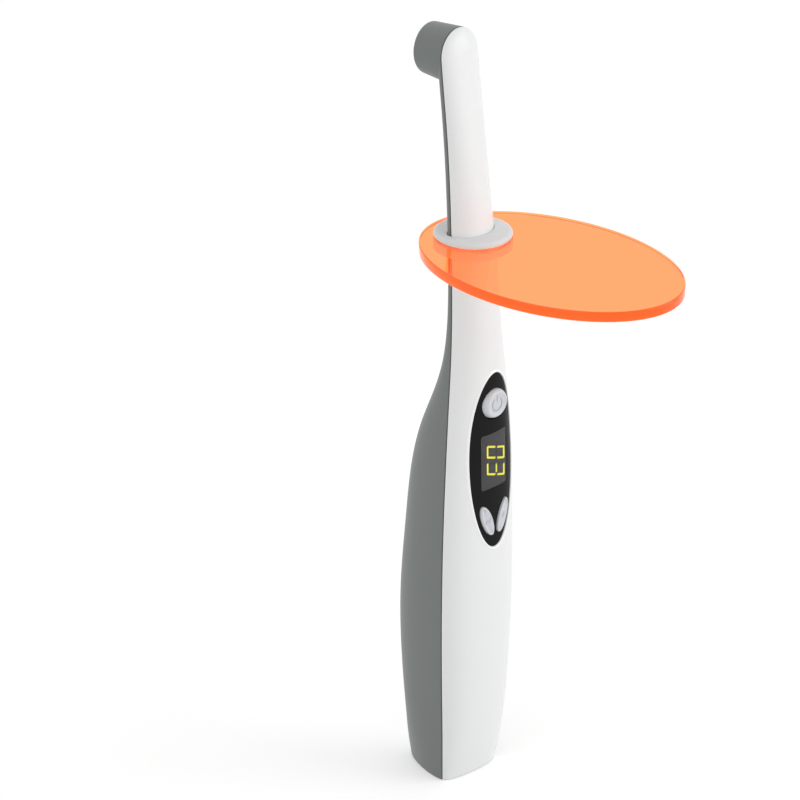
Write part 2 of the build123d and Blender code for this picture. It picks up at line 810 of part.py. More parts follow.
with BuildPart() as reflector:
    add(about_head_axis([(optic_radius - reflector_chamfer, reflector_start),
                         (optic_radius, reflector_start + reflector_chamfer),
                         (optic_radius, lens_start), (reflector_mouth_radius, lens_start),
                         (reflector_mouth_radius - reflector_flare[0], lens_start - reflector_flare[1]),
                         (reflector_throat_radius, reflector_start)]))
    with BuildSketch(head_plane.offset(-wire_flat)):
        Rectangle(30, 2 * (reflector_start + 1.2))
    extrude(amount=-10, mode=Mode.SUBTRACT)
save(reflector.part, "reflector")

with BuildPart() as lens:
    with BuildSketch(head_plane):
        with BuildLine():
            Polyline((lens_crown_radius, seal_start), (optic_radius, seal_start), (optic_radius, lens_start),
                     (0, lens_start), (0, seal_start + lens_bulge))
            Bezier((0, seal_start + lens_bulge), (lens_crown_radius / 2, seal_start + lens_bulge),
                   (lens_crown_radius, seal_start))
        make_face()
    revolve(axis=head_axis)
save(lens.part, "lens")

with BuildPart() as lens_seal:
    add(about_head_axis([(optic_radius - seal_width, seal_start), (optic_radius, seal_start),
                         (optic_radius, lip_start), (optic_radius - seal_width, lip_start)]))
save(lens_seal.part, "lens_seal")

# Eye shield: a transparent oval disc held in the groove of a soft collar on the neck
slide_lean = math.radians(5.0)
neck_form = housing(-collar_clearance)
disc_bottom = collar_bottom + collar_flange
with BuildPart() as shield_disc:
    with BuildSketch(Plane.XY.offset(disc_bottom)):
        with Locations((0, collar_y - shield_reach)):
            Ellipse(shield_width / 2, shield_length / 2)
        with Locations((0, collar_y)):
            Circle(collar_hub_radius, mode=Mode.SUBTRACT)
    extrude(amount=shield_thickness)
    rim = shield_disc.faces().sort_by(Axis.Z)[-1].outer_wire().edges()
    rim += shield_disc.faces().sort_by(Axis.Z)[0].outer_wire().edges()
    fillet(rim, shield_edge_round)
save(shield_disc.part, "shield_disc")

with BuildPart() as shield_collar:
    with BuildSketch(Plane.XY.offset(collar_bottom)):
        with Locations((0, collar_y)):
            Circle(collar_radius)
    extrude(amount=collar_flange)
    with BuildSketch(Plane.XY.offset(disc_bottom)):
        with Locations((0, collar_y)):
            Circle(collar_hub_radius)
    extrude(amount=shield_thickness)
    with BuildSketch(Plane.XY.offset(collar_top - collar_flange)):
        with Locations((0, collar_y)):
            Circle(collar_radius)
    extrude(amount=collar_flange)
    fillet(shield_collar.edges().filter_by(GeomType.CIRCLE).group_by(Axis.Z)[-1], collar_edge_round)
    fillet(shield_collar.edges().filter_by(GeomType.CIRCLE).group_by(Axis.Z)[0], collar_edge_round)
    add(neck_form, mode=Mode.SUBTRACT)
save(shield_collar.part, "shield_collar")


def lead(points, radius):
    # a wire of straight runs joined by arcs that are as large as the runs allow
    points = [Vector(point) for point in points]
    bends = []
    for before, corner, after in zip(points, points[1:], points[2:]):
        turn = math.radians((corner - before).get_angle(after - corner))
        shorter = min((corner - before).length, (after - corner).length)
        bends.append(0.45 * shorter / math.tan(turn / 2))
    with BuildPart() as wire:
        with BuildLine() as route:
            FilletPolyline(*points, radius=bends)
        with BuildSketch(Plane(origin=route.line @ 0, z_dir=route.line % 0)):
            Circle(radius)
        sweep()
    route_length = sum(edge.length for edge in route.edges())
    excess = wire.part.volume / (math.pi * radius ** 2 * route_length) - 1
    print("bend radii", [round(bend, 2) for bend in bends], "volume off by", round(excess, 4))
    return wire.part


# Leads to the light source, one on each side of the heat spreader
lead_end = head_plane.from_local_coords((0, led_board_start + 0.5, -wire_flat - light_lead_radius - 0.1))
for name, side in {"light_lead_red": 1, "light_lead_black": -1}.items():
    x = side * light_lead_offset
    save(lead([(x, board_back_y, 118.8), (x, board_back_y + 2.0, 118.8), (x, -7.7, 127.0), (x, -9.3, 139.0),
               (x, -9.3, 152.0), (x, -4.4, 204.4), (x, -3.0, 208.1), (x, lead_end.Y, lead_end.Z)],
              light_lead_radius), name)

# Leads from the cell's tabs to the lower edge of the main board
board_mid_y = board_front_y + board_thickness / 2
tab_top = cell_top + cell_cap_height + tab_thickness
save(lead([(1.5, -4.6, tab_top), (1.5, -4.6, tab_top + 1.4), (3.0, -8.6, tab_top + 2.0),
           (3.4, board_mid_y, board_bottom - 1.4), (3.4, board_mid_y, board_bottom)],
          lead_radius), "cell_lead_red")
save(lead([(-1.5, -5.2, cell_bottom - tab_thickness), (-1.5, -5.2, cell_bottom - 2.2),
           (-3.6, -7.0, cell_bottom - 2.9), (-7.0, -8.7, cell_bottom + 2.0), (-7.5, -9.3, 34.0),
           (-7.0, -9.6, 52.0), (-5.2, board_mid_y, board_bottom - 4.0),
           (-5.2, board_mid_y, board_bottom)], lead_radius), "cell_lead_black")

# Pair of leads from the charging board to the main board
charge_board_top = charge_board_bottom + charge_board_thickness
with BuildPart() as charge_leads:
    for step in (0, 1.3):
        top_x = 5.6 + 0.9 * step
        start_y = -0.8 - 1.5 * step
        add(lead([(4.6, start_y, charge_board_top), (4.6, start_y, charge_board_top + 1.6),
                  (6.4 + step, -6.2 - step, 9.6), (7.0 + step, -8.6, 17.0), (7.3 + step, -9.3, 34.0),
                  (7.0 + step, -9.5, 52.0), (top_x, board_mid_y, board_bottom - 4.0),
                  (top_x, board_mid_y, board_bottom)], lead_radius))
save(charge_leads.part, "charge_leads")
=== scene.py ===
import bpy
import bmesh
import json
import math
from math import cos, sin
import numpy as np
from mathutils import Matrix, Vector


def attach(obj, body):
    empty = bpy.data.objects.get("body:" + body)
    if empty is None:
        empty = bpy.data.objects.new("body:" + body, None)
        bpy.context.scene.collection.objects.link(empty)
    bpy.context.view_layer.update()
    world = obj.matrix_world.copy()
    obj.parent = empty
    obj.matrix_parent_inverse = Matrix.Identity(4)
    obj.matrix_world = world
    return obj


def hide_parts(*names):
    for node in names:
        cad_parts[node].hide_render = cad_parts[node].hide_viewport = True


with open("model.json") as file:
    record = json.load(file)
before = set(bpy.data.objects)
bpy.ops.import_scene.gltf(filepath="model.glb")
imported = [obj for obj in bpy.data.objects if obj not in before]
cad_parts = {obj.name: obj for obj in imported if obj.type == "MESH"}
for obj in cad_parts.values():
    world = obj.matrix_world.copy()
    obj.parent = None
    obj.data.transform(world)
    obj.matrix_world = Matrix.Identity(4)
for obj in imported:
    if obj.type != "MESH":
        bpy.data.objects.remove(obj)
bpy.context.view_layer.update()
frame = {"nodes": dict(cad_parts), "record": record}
nodes = frame["nodes"]
slotOf = {part["node"]: part["material_slot"] for part in frame["record"]["subparts"]}
mm = 0.001
print("frame loaded,", len(nodes), "nodes")

# Sizes below are in millimetres, in the frame's own directions


def addObject(name, data):
    made = bpy.data.objects.new(name, data)
    bpy.context.scene.collection.objects.link(made)
    return made


cameraView = {
    "azimuth": -50.0,
    "elevation": 23.0,
    "aim": (-10.9, 8.4, 110.0),  # what the middle of the frame looks at
    "frameWidth": 220.0,  # what 800 pixels span at the aim
    "distance": 9000.0,
    "sensor": 36.0,
    "clip": (100.0, 30000.0),
}


def placeCamera():
    turn = math.radians(cameraView["azimuth"])
    rise = math.radians(cameraView["elevation"])
    back = Vector((sin(turn) * cos(rise), -cos(turn) * cos(rise),
                   sin(rise)))
    data = bpy.data.cameras.new("camera")
    data.sensor_width = cameraView["sensor"]
    data.lens = cameraView["sensor"] * cameraView["distance"] / cameraView["frameWidth"]
    data.clip_start, data.clip_end = (reach * mm for reach in cameraView["clip"])
    camera = addObject("camera", data)
    camera.location = (Vector(cameraView["aim"]) + back * cameraView["distance"]) * mm
    camera.rotation_euler = back.to_track_quat("Z", "Y").to_euler()
    bpy.context.scene.camera = camera


placeCamera()
bpy.context.scene.view_settings.view_transform = "Standard"
print("camera placed")

# Node helpers, and the shader groups that several finishes share


def setSockets(node, values):
    # a value is plain, or a node and the name of its output that feeds the socket
    for key, value in values.items():
        if isinstance(value, tuple) and isinstance(value[0], bpy.types.Node):
            node.id_data.links.new(value[0].outputs[value[1]], node.inputs[key])
        else:
            node.inputs[key].default_value = value


def addNode(tree, kind, values=None, operation=None):
    prefix = "" if kind.startswith("NodeGroup") else tree.bl_idname.removesuffix("Tree")
    node = tree.nodes.new(prefix + kind)
    if operation:
        node.operation = operation
    setSockets(node, values or {})
    return node


def addGroup(tree, group, values):
    node = addNode(tree, "Group")
    node.node_tree = group
    setSockets(node, values)
    return node


def startGroup(name, kind, given, made):
    # every socket of the group is given by its name and the kind of its value
    group = bpy.data.node_groups.new(name, kind)
    for direction, sockets in (("INPUT", given), ("OUTPUT", made)):
        for label, value in sockets.items():
            group.interface.new_socket(name=label, in_out=direction, socket_type="NodeSocket" + value)
    return group, addNode(group, "NodeGroupInput"), addNode(group, "NodeGroupOutput")


def seenBy(tree, first, *others):
    # 1 for the kinds of ray that are named and 0 for the rest
    path = addNode(tree, "LightPath")
    seen = (path, f"Is {first} Ray")
    for ray in others:
        seen = (addNode(tree, "Math", {0: seen, 1: (path, f"Is {ray} Ray")}, "MAXIMUM"), "Value")
    return seen


def buildMouldGrain():
    # moulded texture: slow drift of tone, uneven gloss and a shallow fine grain
    group, given, out = startGroup(
        "mouldGrain", "ShaderNodeTree",
        {"Colour": "Color", "Drift": "Float", "Roughness": "Float", "Unevenness": "Float"},
        {"Colour": "Color", "Roughness": "Float", "Height": "Float"})
    place = addNode(group, "TexCoord")
    slow = addNode(group, "TexNoise", {"Scale": 35, "Detail": 3, "Vector": (place, "Object")})
    fine = addNode(group, "TexNoise", {"Scale": 3000, "Detail": 2, "Vector": (place, "Object")})
    centred = (addNode(group, "Math", {0: (slow, "Fac"), 1: 0.5}, "SUBTRACT"), "Value")
    tone = addNode(group, "Math", {0: centred, 1: (given, "Drift"), 2: 1.0}, "MULTIPLY_ADD")
    shade = addNode(group, "VectorMath", {0: (given, "Colour"), "Scale": (tone, "Value")}, "SCALE")
    gloss = addNode(group, "Math", {0: centred, 1: (given, "Unevenness"), 2: (given, "Roughness")},
                    "MULTIPLY_ADD")
    setSockets(out, {"Colour": (shade, "Vector"), "Roughness": (gloss, "Value"), "Height": (fine, "Fac")})
    return group


def buildHandling():
    # faint wiping marks on polished faces: long soft streaks that only change the gloss
    group, given, out = startGroup("handling", "ShaderNodeTree", {"Roughness": "Float", "Marks": "Float"},
                                   {"Roughness": "Float"})
    place = addNode(group, "TexCoord")
    stretch = addNode(group, "Mapping", {"Vector": (place, "Object"), "Scale": (1.0, 1.0, 0.35)})
    streaks = addNode(group, "TexNoise", {"Scale": 120, "Detail": 5, "Vector": (stretch, "Vector")})
    marks = addNode(group, "MapRange", {"Value": (streaks, "Fac"), "From Min": 0.5, "From Max": 0.8})
    gloss = addNode(group, "Math", {0: (marks, "Result"), 1: (given, "Marks"), 2: (given, "Roughness")},
                    "MULTIPLY_ADD")
    setSockets(out, {"Roughness": (gloss, "Value")})
    return group


mouldGrain = buildMouldGrain()
handling = buildHandling()


def linear(red, green, blue):
    # a screen colour from 0 to 255 as the linear colour that a shader takes
    shares = [value / 255 for value in (red, green, blue)]
    return tuple(s / 12.92 if s <= 0.04045 else ((s + 0.055) / 1.055) ** 2.4 for s in shares) + (1.0,)


def startMaterial(name):
    material = bpy.data.materials.new(name)
    material.use_nodes = True
    return material, material.node_tree, material.node_tree.nodes["Principled BSDF"]


grainHeight = 0.02


def mouldedMaterial(name, look):
    # plastic, rubber or metal with the shared grain; extra sockets are plain values
    material, tree, shader = startMaterial(name)
    grain = addGroup(tree, mouldGrain, {
        "Colour": linear(*look["colour"]), "Drift": look.get("drift", 0.04),
        "Roughness": look["roughness"], "Unevenness": look.get("unevenness", 0.06)})
    bump = addNode(tree, "Bump", {"Strength": look.get("bump", 0.1), "Distance": grainHeight * mm,
                                  "Height": (grain, "Height")})
    setSockets(shader, {"Base Color": (grain, "Colour"), "Roughness": (grain, "Roughness"),
                        "Normal": (bump, "Normal"), **look.get("sockets", {})})
    return material


def polishedMaterial(name, look):
    # glass and clear or gloss plastic with faint wiping marks
    material, tree, shader = startMaterial(name)
    marks = addGroup(tree, handling, {"Roughness": look["roughness"], "Marks": look["marks"]})
    setSockets(shader, {"Base Color": look["colour"], "Roughness": (marks, "Roughness"),
                        **look["sockets"]})
    if "paintedGlow" in look:
        material.cycles.emission_sampling = "NONE"
        addPaintedGlow(tree, shader, look)
    return material


def addPaintedGlow(tree, shader, look):
    # painted glow: the sheet's edges, and more weakly its flat faces, give out orange light of their own.
    # It stands in for the bright edges of the fluorescent sheet, and keeps what is seen through the sheet
    # orange where it would render dark. There is none inside the collar
    face = addNode(tree, "NewGeometry")
    split = addNode(tree, "SeparateXYZ", {"Vector": (face, "Normal")})
    level = addNode(tree, "Math", {0: (split, "Z")}, "ABSOLUTE")
    edges = addNode(tree, "MapRange", {"Value": (level, "Value"), "From Min": look["flatNormal"],
                                       "From Max": look["edgeNormal"], "To Min": look["faceGlow"]})
    place = addNode(tree, "TexCoord")
    flat = addNode(tree, "VectorMath", {0: (place, "Object"), 1: (1, 1, 0), 2: look["from"]},
                   "MULTIPLY_ADD")
    reach = addNode(tree, "VectorMath", {0: (flat, "Vector")}, "LENGTH")
    away = addNode(tree, "Math", {0: (reach, "Value"), 1: look["fromReach"]}, "GREATER_THAN")
    kept = addNode(tree, "Math", {0: (edges, "Result"), 1: (away, "Value")}, "MULTIPLY")
    tint = addNode(tree, "VectorMath", {0: look["paintedGlow"], "Scale": (kept, "Value")}, "SCALE")
    # it hardly dims what stands behind it, so shadow and diffuse rays pass it almost freely
    passing = seenBy(tree, "Shadow", "Diffuse")
    solid = (addNode(tree, "Math", {0: passing, 1: -look["passes"], 2: 1.0}, "MULTIPLY_ADD"), "Value")
    amount = addNode(tree, "Math", {0: solid, 1: look["density"]}, "MULTIPLY")
    depth = addNode(tree, "VolumeAbsorption", {"Color": look["absorption"], "Density": (amount, "Value")})
    setSockets(shader, {"Emission Color": (tint, "Vector"), "Alpha": solid})
    setSockets(tree.nodes["Material Output"], {"Volume": (depth, "Volume")})


even = {"drift": 0.0, "unevenness": 0.0}
metal = {"Metallic": 1.0}
soft = {"Subsurface Radius": (0.002, 0.002, 0.002), "Subsurface Scale": 0.6}
moulded = {
    "white_shell": {"colour": (242, 243, 243), "roughness": 0.27, **even, "bump": 0.03,
                    "sockets": {"Specular IOR Level": 0.45}},
    # painted highlight: a brighter white than the shell, for the edges beside the seam and round the
    # panel's bead; its extra gloss and coat are real
    "white_edge_highlight": {"colour": (255, 255, 255), "roughness": 0.2, **even, "bump": 0.0,
                   "sockets": {"Specular IOR Level": 1.0, "Coat Weight": 1.0}},
    "grey_shell": {"colour": (120, 125, 123), "roughness": 0.42, "drift": 0.03, "bump": 0.12,
                   "sockets": {"Specular IOR Level": 0.4}},
    "module_grey": {"colour": (111, 110, 110), "roughness": 0.6, "drift": 0.0},
    "dark_segment": {"colour": (92, 91, 90), "roughness": 0.5},
    # painted shade: the marks are a darker grey than their buttons, standing in for the shade inside
    # engraved marks
    "mark_shade_grey": {"colour": (182, 186, 194), "roughness": 0.4},
    "button_silver": {"colour": (211, 214, 219), "roughness": 0.3, "drift": 0.01, "bump": 0.06,
                      "sockets": {**soft, "Subsurface Weight": 0.25, "Coat Weight": 0.3,
                                  "Coat Roughness": 0.12}},
    "switch_black": {"colour": (30, 30, 31), "roughness": 0.45},
    "board_green": {"colour": (20, 92, 52), "roughness": 0.35, "drift": 0.2,
                    "sockets": {"Coat Weight": 0.4}},
    "chip_black": {"colour": (38, 38, 40), "roughness": 0.55},
    "capacitor_tan": {"colour": (168, 142, 104), "roughness": 0.5},
    "screw_steel": {"colour": (196, 196, 198), "roughness": 0.3, "bump": 0.2, "sockets": metal},
    "cell_wrap": {"colour": (42, 92, 160), "roughness": 0.25},
    "tab_nickel": {"colour": (190, 188, 180), "roughness": 0.32, "sockets": metal},
    "contact_gold": {"colour": (226, 184, 96), "roughness": 0.2, "sockets": metal},
    "heat_aluminium": {"colour": (200, 201, 203), "roughness": 0.35, "bump": 0.25, "sockets": metal},
    "board_white": {"colour": (232, 232, 228), "roughness": 0.4},
    "emitter": {"colour": (222, 214, 120), "roughness": 0.2},
    "seal_rubber": {"colour": (28, 28, 28), "roughness": 0.7},
    "lead_red": {"colour": (176, 30, 26), "roughness": 0.4},
    "lead_black": {"colour": (28, 28, 29), "roughness": 0.4},
    "collar_silicone": {"colour": (225, 225, 225), "roughness": 0.5, "drift": 0.02, "bump": 0.1,
                        "sockets": {**soft, "Subsurface Weight": 0.2, "Sheen Weight": 0.15}},
}
polished = {
    "panel_black": {"colour": linear(36, 36, 37), "roughness": 0.16, "marks": 0.05,
                    "sockets": {"Specular IOR Level": 0.02}},
    "window_smoke": {"colour": linear(60, 59, 60), "roughness": 0.06, "marks": 0.05,
                     "sockets": {"Alpha": 0.25, "Specular IOR Level": 0.1}},
    "reflector_mirror": {"colour": linear(236, 236, 238), "roughness": 0.05, "marks": 0.03,
                         "sockets": metal},
    "lens_glass": {"colour": linear(246, 249, 250), "roughness": 0.02, "marks": 0.02,
                   "sockets": {"Transmission Weight": 1.0, "IOR": 1.5}},
    "shield_orange": {
        "colour": (1.0, 0.52, 0.22, 1.0), "roughness": 0.02, "marks": 0.02,
        # painted glow: an orange light of the sheet's own, full at its edges and weaker on its flat
        # faces, at this emission strength
        "sockets": {"Transmission Weight": 1.0, "IOR": 1.4, "Emission Strength": 0.85},
        "paintedGlow": (1.0, 0.125, 0.005),
        "faceGlow": 0.42,  # the flat faces' share of the edges' glow
        "flatNormal": 0.99,  # slope where the glowing edge starts, and where it is full
        "edgeNormal": 0.85,
        "passes": 0.95,
        "from": (0.0, 8.6 * mm, 0.0),  # moves the collar's axis to the origin
        "fromReach": 10.5 * mm,
        "absorption": (1.0, 0.5, 0.0, 1.0),
        "density": 300.0,
    },
}
litLook = {"colour": linear(236, 228, 84), "light": linear(238, 230, 66), "strength": 1.2,
           "grainScale": 900, "roughness": (0.35, 0.45)}


def litMaterial():
    material, tree, shader = startMaterial("lit_segment")
    place = addNode(tree, "TexCoord")
    grain = addNode(tree, "TexNoise", {"Scale": litLook["grainScale"], "Vector": (place, "Object")})
    low, high = litLook["roughness"]
    ramp = addNode(tree, "MapRange", {"Value": (grain, "Fac"), "To Min": low, "To Max": high})
    setSockets(shader, {"Base Color": litLook["colour"], "Roughness": (ramp, "Result"),
                        "Emission Color": litLook["light"], "Emission Strength": litLook["strength"]})
    return material


finishes = {name: mouldedMaterial(name, look) for name, look in moulded.items()}
finishes.update({name: polishedMaterial(name, look) for name, look in polished.items()})
finishes["lit_segment"] = litMaterial()
for name, node in nodes.items():
    node.data.materials.clear()
    node.data.materials.append(finishes[slotOf[name]])
print("finishes made:", len(finishes))

# The housing's form: the same rows as in the solids, joined by smooth curves

form = {
    "rows": [
        # height, half width, y of the seam, depth in front of the seam, depth and roundness behind it
        (0.0, 10.8, -6.5, 3.0, 19.25, 0.30),
        (6.0, 11.35, -6.95, 4.9, 19.75, 0.46),
        (14.0, 11.9, -7.4, 6.3, 19.65, 0.62),
        (30.0, 12.85, -8.0, 7.3, 21.2, 0.66),
        (52.0, 13.6, -8.6, 7.75, 22.15, 0.66),
        (74.0, 13.45, -8.95, 7.7, 20.5, 0.66),
        (92.0, 12.75, -9.15, 7.55, 18.4, 0.66),
        (104.0, 11.85, -9.05, 7.6, 14.85, 0.66),
        (114.0, 10.75, -8.75, 7.9, 10.1, 0.66),
        (124.0, 9.45, -8.3, 8.1, 6.15, 0.66),
        (136.0, 8.25, -7.7, 8.1, 3.95, 0.66),
        (150.0, 7.8, -7.3, 7.2, 3.3, 0.66),
        (171.98, 7.45, -6.45, 5.5, 3.3, 0.66),
        (193.96, 7.3, -4.9, 4.15, 3.3, 0.66),
        (206.0, 7.4, -3.8, 3.5, 3.3, 0.66),
        (212.8, 7.45, -3.2, 3.2, 3.3, 0.66),
    ],
    "headLean": 4.5,
    "frontRoundness": 0.60,
    "seamGap": 0.3,
    "seamRound": 0.35,  # rounding of both edges beside the seam
    "seamTurns": (90, 65, 40, 20),  # angles of the points round it
    "tailRound": 0.6,
    "tailTurns": (90, 67.5, 45, 22.5),
    "tailShares": (0.0, 0.2, 0.4, 0.6, 0.8, 0.95),  # rings of points on the tail's flat face
    "wall": 1.5,
    "quarterSteps": 36,
    "rowStep": 1.0,
    "domeSteps": 48,
    "samples": 400,  # points at which a curve is looked up
    "fineSamples": 2000,
}
rows = np.array(form["rows"])
lean = math.radians(form["headLean"])
headForward = np.array((0, cos(lean), -sin(lean)))
headUp = np.array((0, sin(lean), cos(lean)))
headCentre = np.array((0, rows[-1][2], rows[-1][0]))
domeTurns = np.linspace(0, math.pi, form["domeSteps"] + 1)[1:-1]


def smoothThrough(places, values):
    # natural cubic curve through the values at the places, as a function of place
    steps = np.diff(places)
    count = len(places)
    system = np.eye(count)
    slopes = np.diff(values, axis=0) / steps[:, None]
    bends = np.zeros_like(values)
    for i in range(1, count - 1):
        system[i, i - 1:i + 2] = steps[i - 1], 2 * (steps[i - 1] + steps[i]), steps[i]
        bends[i] = 6 * (slopes[i] - slopes[i - 1])
    bends = np.linalg.solve(system, bends)

    def at(place):
        i = int(np.clip(np.searchsorted(places, place) - 1, 0, count - 2))
        step = steps[i]
        before = (places[i + 1] - place) / step
        after = (place - places[i]) / step
        bend = (before ** 3 - before) * bends[i] + (after ** 3 - after) * bends[i + 1]
        return before * values[i] + after * values[i + 1] + bend * step ** 2 / 6

    return at


def quarter(t, roundness):
    # a quarter of a section: share of the half width and share of the depth
    s = 1 - t
    out = s ** 3 + 3 * s * s * t + 3 * s * t * t * roundness
    ahead = 3 * s * s * t * roundness + 3 * s * t * t + t ** 3
    return out, ahead


def rounding(radius, degrees):
    # a rounded edge at some angles: how far it is drawn in, and how far it stays below the corner
    turns = np.radians(degrees)
    return np.array((radius * (1 - np.cos(turns)), radius * (1 - np.sin(turns))))


def fullTurn(count):
    return np.linspace(0, 2 * math.pi, count + 1)[:-1]


def arcPoints(x, y, radius, first, last, count):
    return [(x + radius * cos(turn), y + radius * sin(turn))
            for turn in np.radians(np.linspace(first, last, count))]


# the table as a smooth function of height; its last column tilts the top section to the head's plane
tilts = np.zeros((len(rows), 1))
tilts[-1] = 1
formTable = smoothThrough(rows[:, 0], np.hstack((rows, tilts)))


def sectionLine(height, facing, inset):
    # a section's points from the left seam over the middle to the right seam, on one side of the seam
    halfWidth, seamY, front, back, roundness, tilt = formTable(height)[1:]
    if facing < 0:
        back, roundness = front, form["frontRoundness"]
    halfWidth -= inset
    depth = back - inset
    gap = form["seamGap"] / 2
    share = np.linspace(0, 1, form["samples"])
    out, ahead = quarter(share, roundness)
    start = np.interp(gap + form["seamRound"], depth * ahead, share)
    drawn, rise = rounding(form["seamRound"], form["seamTurns"])
    cornerX = np.interp(gap + rise, depth * ahead, halfWidth * out)
    if not inset:
        cornerX -= drawn
    out, ahead = quarter(np.linspace(start, 1, form["quarterSteps"] + 1), roundness)
    x = np.concatenate((cornerX, halfWidth * out))
    y = np.concatenate((gap + rise, depth * ahead))
    x = np.concatenate((-x, x[-2::-1]))
    y = np.concatenate((y, y[-2::-1])) * facing
    away = np.array((0, 1 - (1 - cos(lean)) * tilt, -sin(lean) * tilt))
    return np.array((0, seamY, height)) + np.outer(x, (1, 0, 0)) + np.outer(y, away)


def formGrid(facing, inset):
    # rows of points from the tail's flat face round its edge and up to the head
    top = rows[-1][0]
    edge = form["tailRound"]
    lines = []
    for drawn, rise in rounding(edge, form["tailTurns"]).T:
        height = inset + rise
        line = sectionLine(height, facing, inset)
        if not inset:
            halfWidth, seamY, front, back = formTable(height)[1:5]
            seam = np.array((0, seamY, height))
            scale = (1 - drawn / halfWidth, 1 - drawn / (front if facing < 0 else back), 1)
            line = seam + (line - seam) * scale
        lines.append(line)
    middle = np.array((0, lines[0][0][1], inset))
    flat = [middle + (lines[0] - middle) * share for share in form["tailShares"]]
    heights = np.linspace(inset + edge, top, int((top - edge) / form["rowStep"]))
    return np.array(flat + lines + [sectionLine(height, facing, inset) for height in heights])


# Mesh helpers


def gridFaces(rowCount, columnCount, isLeftOut=lambda row, column: False):
    return [(start, start + 1, start + columnCount + 1, start + columnCount)
            for row in range(rowCount - 1) for column in range(columnCount - 1)
            if not isLeftOut(row, column) for start in [row * columnCount + column]]


def loopFaces(loops, size, closed=True):
    # faces between loops of points, each to the next; closed adds those from the last to the first
    faces = []
    for i in range(loops if closed else loops - 1):
        here, following = i * size, (i + 1) % loops * size
        faces += [(here + j, following + j, following + (j + 1) % size, here + (j + 1) % size)
                  for j in range(size)]
    return faces


def capFaces(first, size, middle):
    return [(first + j, first + (j + 1) % size, middle) for j in range(size)]


def ribbonFaces(lines):
    # faces between lines of point numbers that follow one another; corners that coincide are merged
    return [tuple(dict.fromkeys((here[i], here[i + 1], following[i + 1], following[i])))
            for here, following in zip(lines, lines[1:]) for i in range(len(here) - 1)]


def closedShell(outer, inner, faces):
    # a wall between two sheets of the same layout: the inner one is turned and the rims are joined
    count = len(outer)
    sides = {side for face in faces for side in zip(face, face[1:] + face[:1])}
    turned = [tuple(corner + count for corner in reversed(face)) for face in faces]
    rims = [(b, a, a + count, b + count) for a, b in sides if (b, a) not in sides]
    return outer + inner, faces + turned + sorted(rims)


def newPiece(name, vertices, faces, edges=()):
    mesh = bpy.data.meshes.new(name)
    mesh.from_pydata([tuple(float(c) * mm for c in v) for v in vertices], edges, faces)
    mesh.validate()
    return addObject(name, mesh)


weldReach = 1e-7  # metres


def tidyMesh(piece, recalculate=True):
    work = bmesh.new()
    work.from_mesh(piece.data)
    bmesh.ops.remove_doubles(work, verts=work.verts, dist=weldReach)
    if recalculate:
        bmesh.ops.recalc_face_normals(work, faces=work.faces)
    work.to_mesh(piece.data)
    work.free()


def bake(piece):
    # turns the piece and its modifiers into a plain mesh
    bpy.context.view_layer.update()
    depsgraph = bpy.context.evaluated_depsgraph_get()
    mesh = bpy.data.meshes.new_from_object(piece.evaluated_get(depsgraph))
    piece.modifiers.clear()
    piece.data = mesh


def settle(piece, sharpAngle, body, slot, *stoodFor):
    piece.data.shade_smooth()
    piece.data.set_sharp_from_angle(angle=math.radians(sharpAngle))
    piece.data.materials.clear()
    piece.data.materials.append(finishes[slot])
    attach(piece, body)
    if stoodFor:
        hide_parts(*stoodFor)


def addPiece(name, vertices, faces, *settled):
    piece = newPiece(name, vertices, faces)
    tidyMesh(piece)
    settle(piece, *settled)
    return piece


panel = {
    "height": 95.5,
    "length": 51.5,
    "width": 17.4,
    "clearance": 0.1,
    "floor": 0.8,
    "ledge": 1.2,  # width of the shelf that carries the panel
    "tipShare": 5.0,  # height of outline that each tip's spokes cover
    "gridColumn": 17,  # column of the form where the recess's own mesh starts
    "gridBelow": 66.0,
    "gridAbove": 125.5,
    "spokeShares": (0.2, 0.4, 0.6, 0.8, 1.0),  # points between the form's grid and the bead
    "beadBorder": 0.15,  # how far outside the bead the last of them lies
    # the bead round the recess and its wall: distance outside the opening, depth under the form
    "bead": [(1.0, 0.0), (0.88, -0.04), (0.76, -0.13), (0.62, -0.22), (0.46, -0.26), (0.3, -0.22),
             (0.16, -0.12), (0.05, 0.04), (0.0, 0.26), (0.0, 0.8)],
}


def outlineWidth(z, margin):
    # half width of the long oval at a height above its centre
    share = min(abs(z) / (panel["length"] / 2 + margin), 1.0)
    return (panel["width"] / 2 + margin) * math.sqrt(1 - share ** 2)


def outlinePoint(a, b, margin):
    # the outline's point for a spoke from the grid's edge at a across and b up, each from -1 to 1
    shoulder = panel["length"] / 2 + margin - panel["tipShare"]
    if abs(a) == 1:
        z = b * shoulder
    else:
        # along the tip, evenly by an angle that is 0 at the shoulder and 90 degrees at the tip
        z = shoulder + panel["tipShare"] * sin((1 - abs(a)) * math.pi / 2)
        z = math.copysign(z, b)
    return math.copysign(outlineWidth(z, margin), a), panel["height"] + z


quarterOut, quarterAhead = quarter(np.linspace(0, 1, form["fineSamples"]),
                                      form["frontRoundness"])


def frontSurface(x, z, inset=0.0):
    # y of the front shell's outer face, drawn in by the inset
    halfWidth, seamY, front = formTable(z)[1:4]
    share = min(abs(x) / (halfWidth - inset), 1.0)
    ahead = np.interp(share, quarterOut[::-1], quarterAhead[::-1])
    return seamY - (front - inset) * ahead


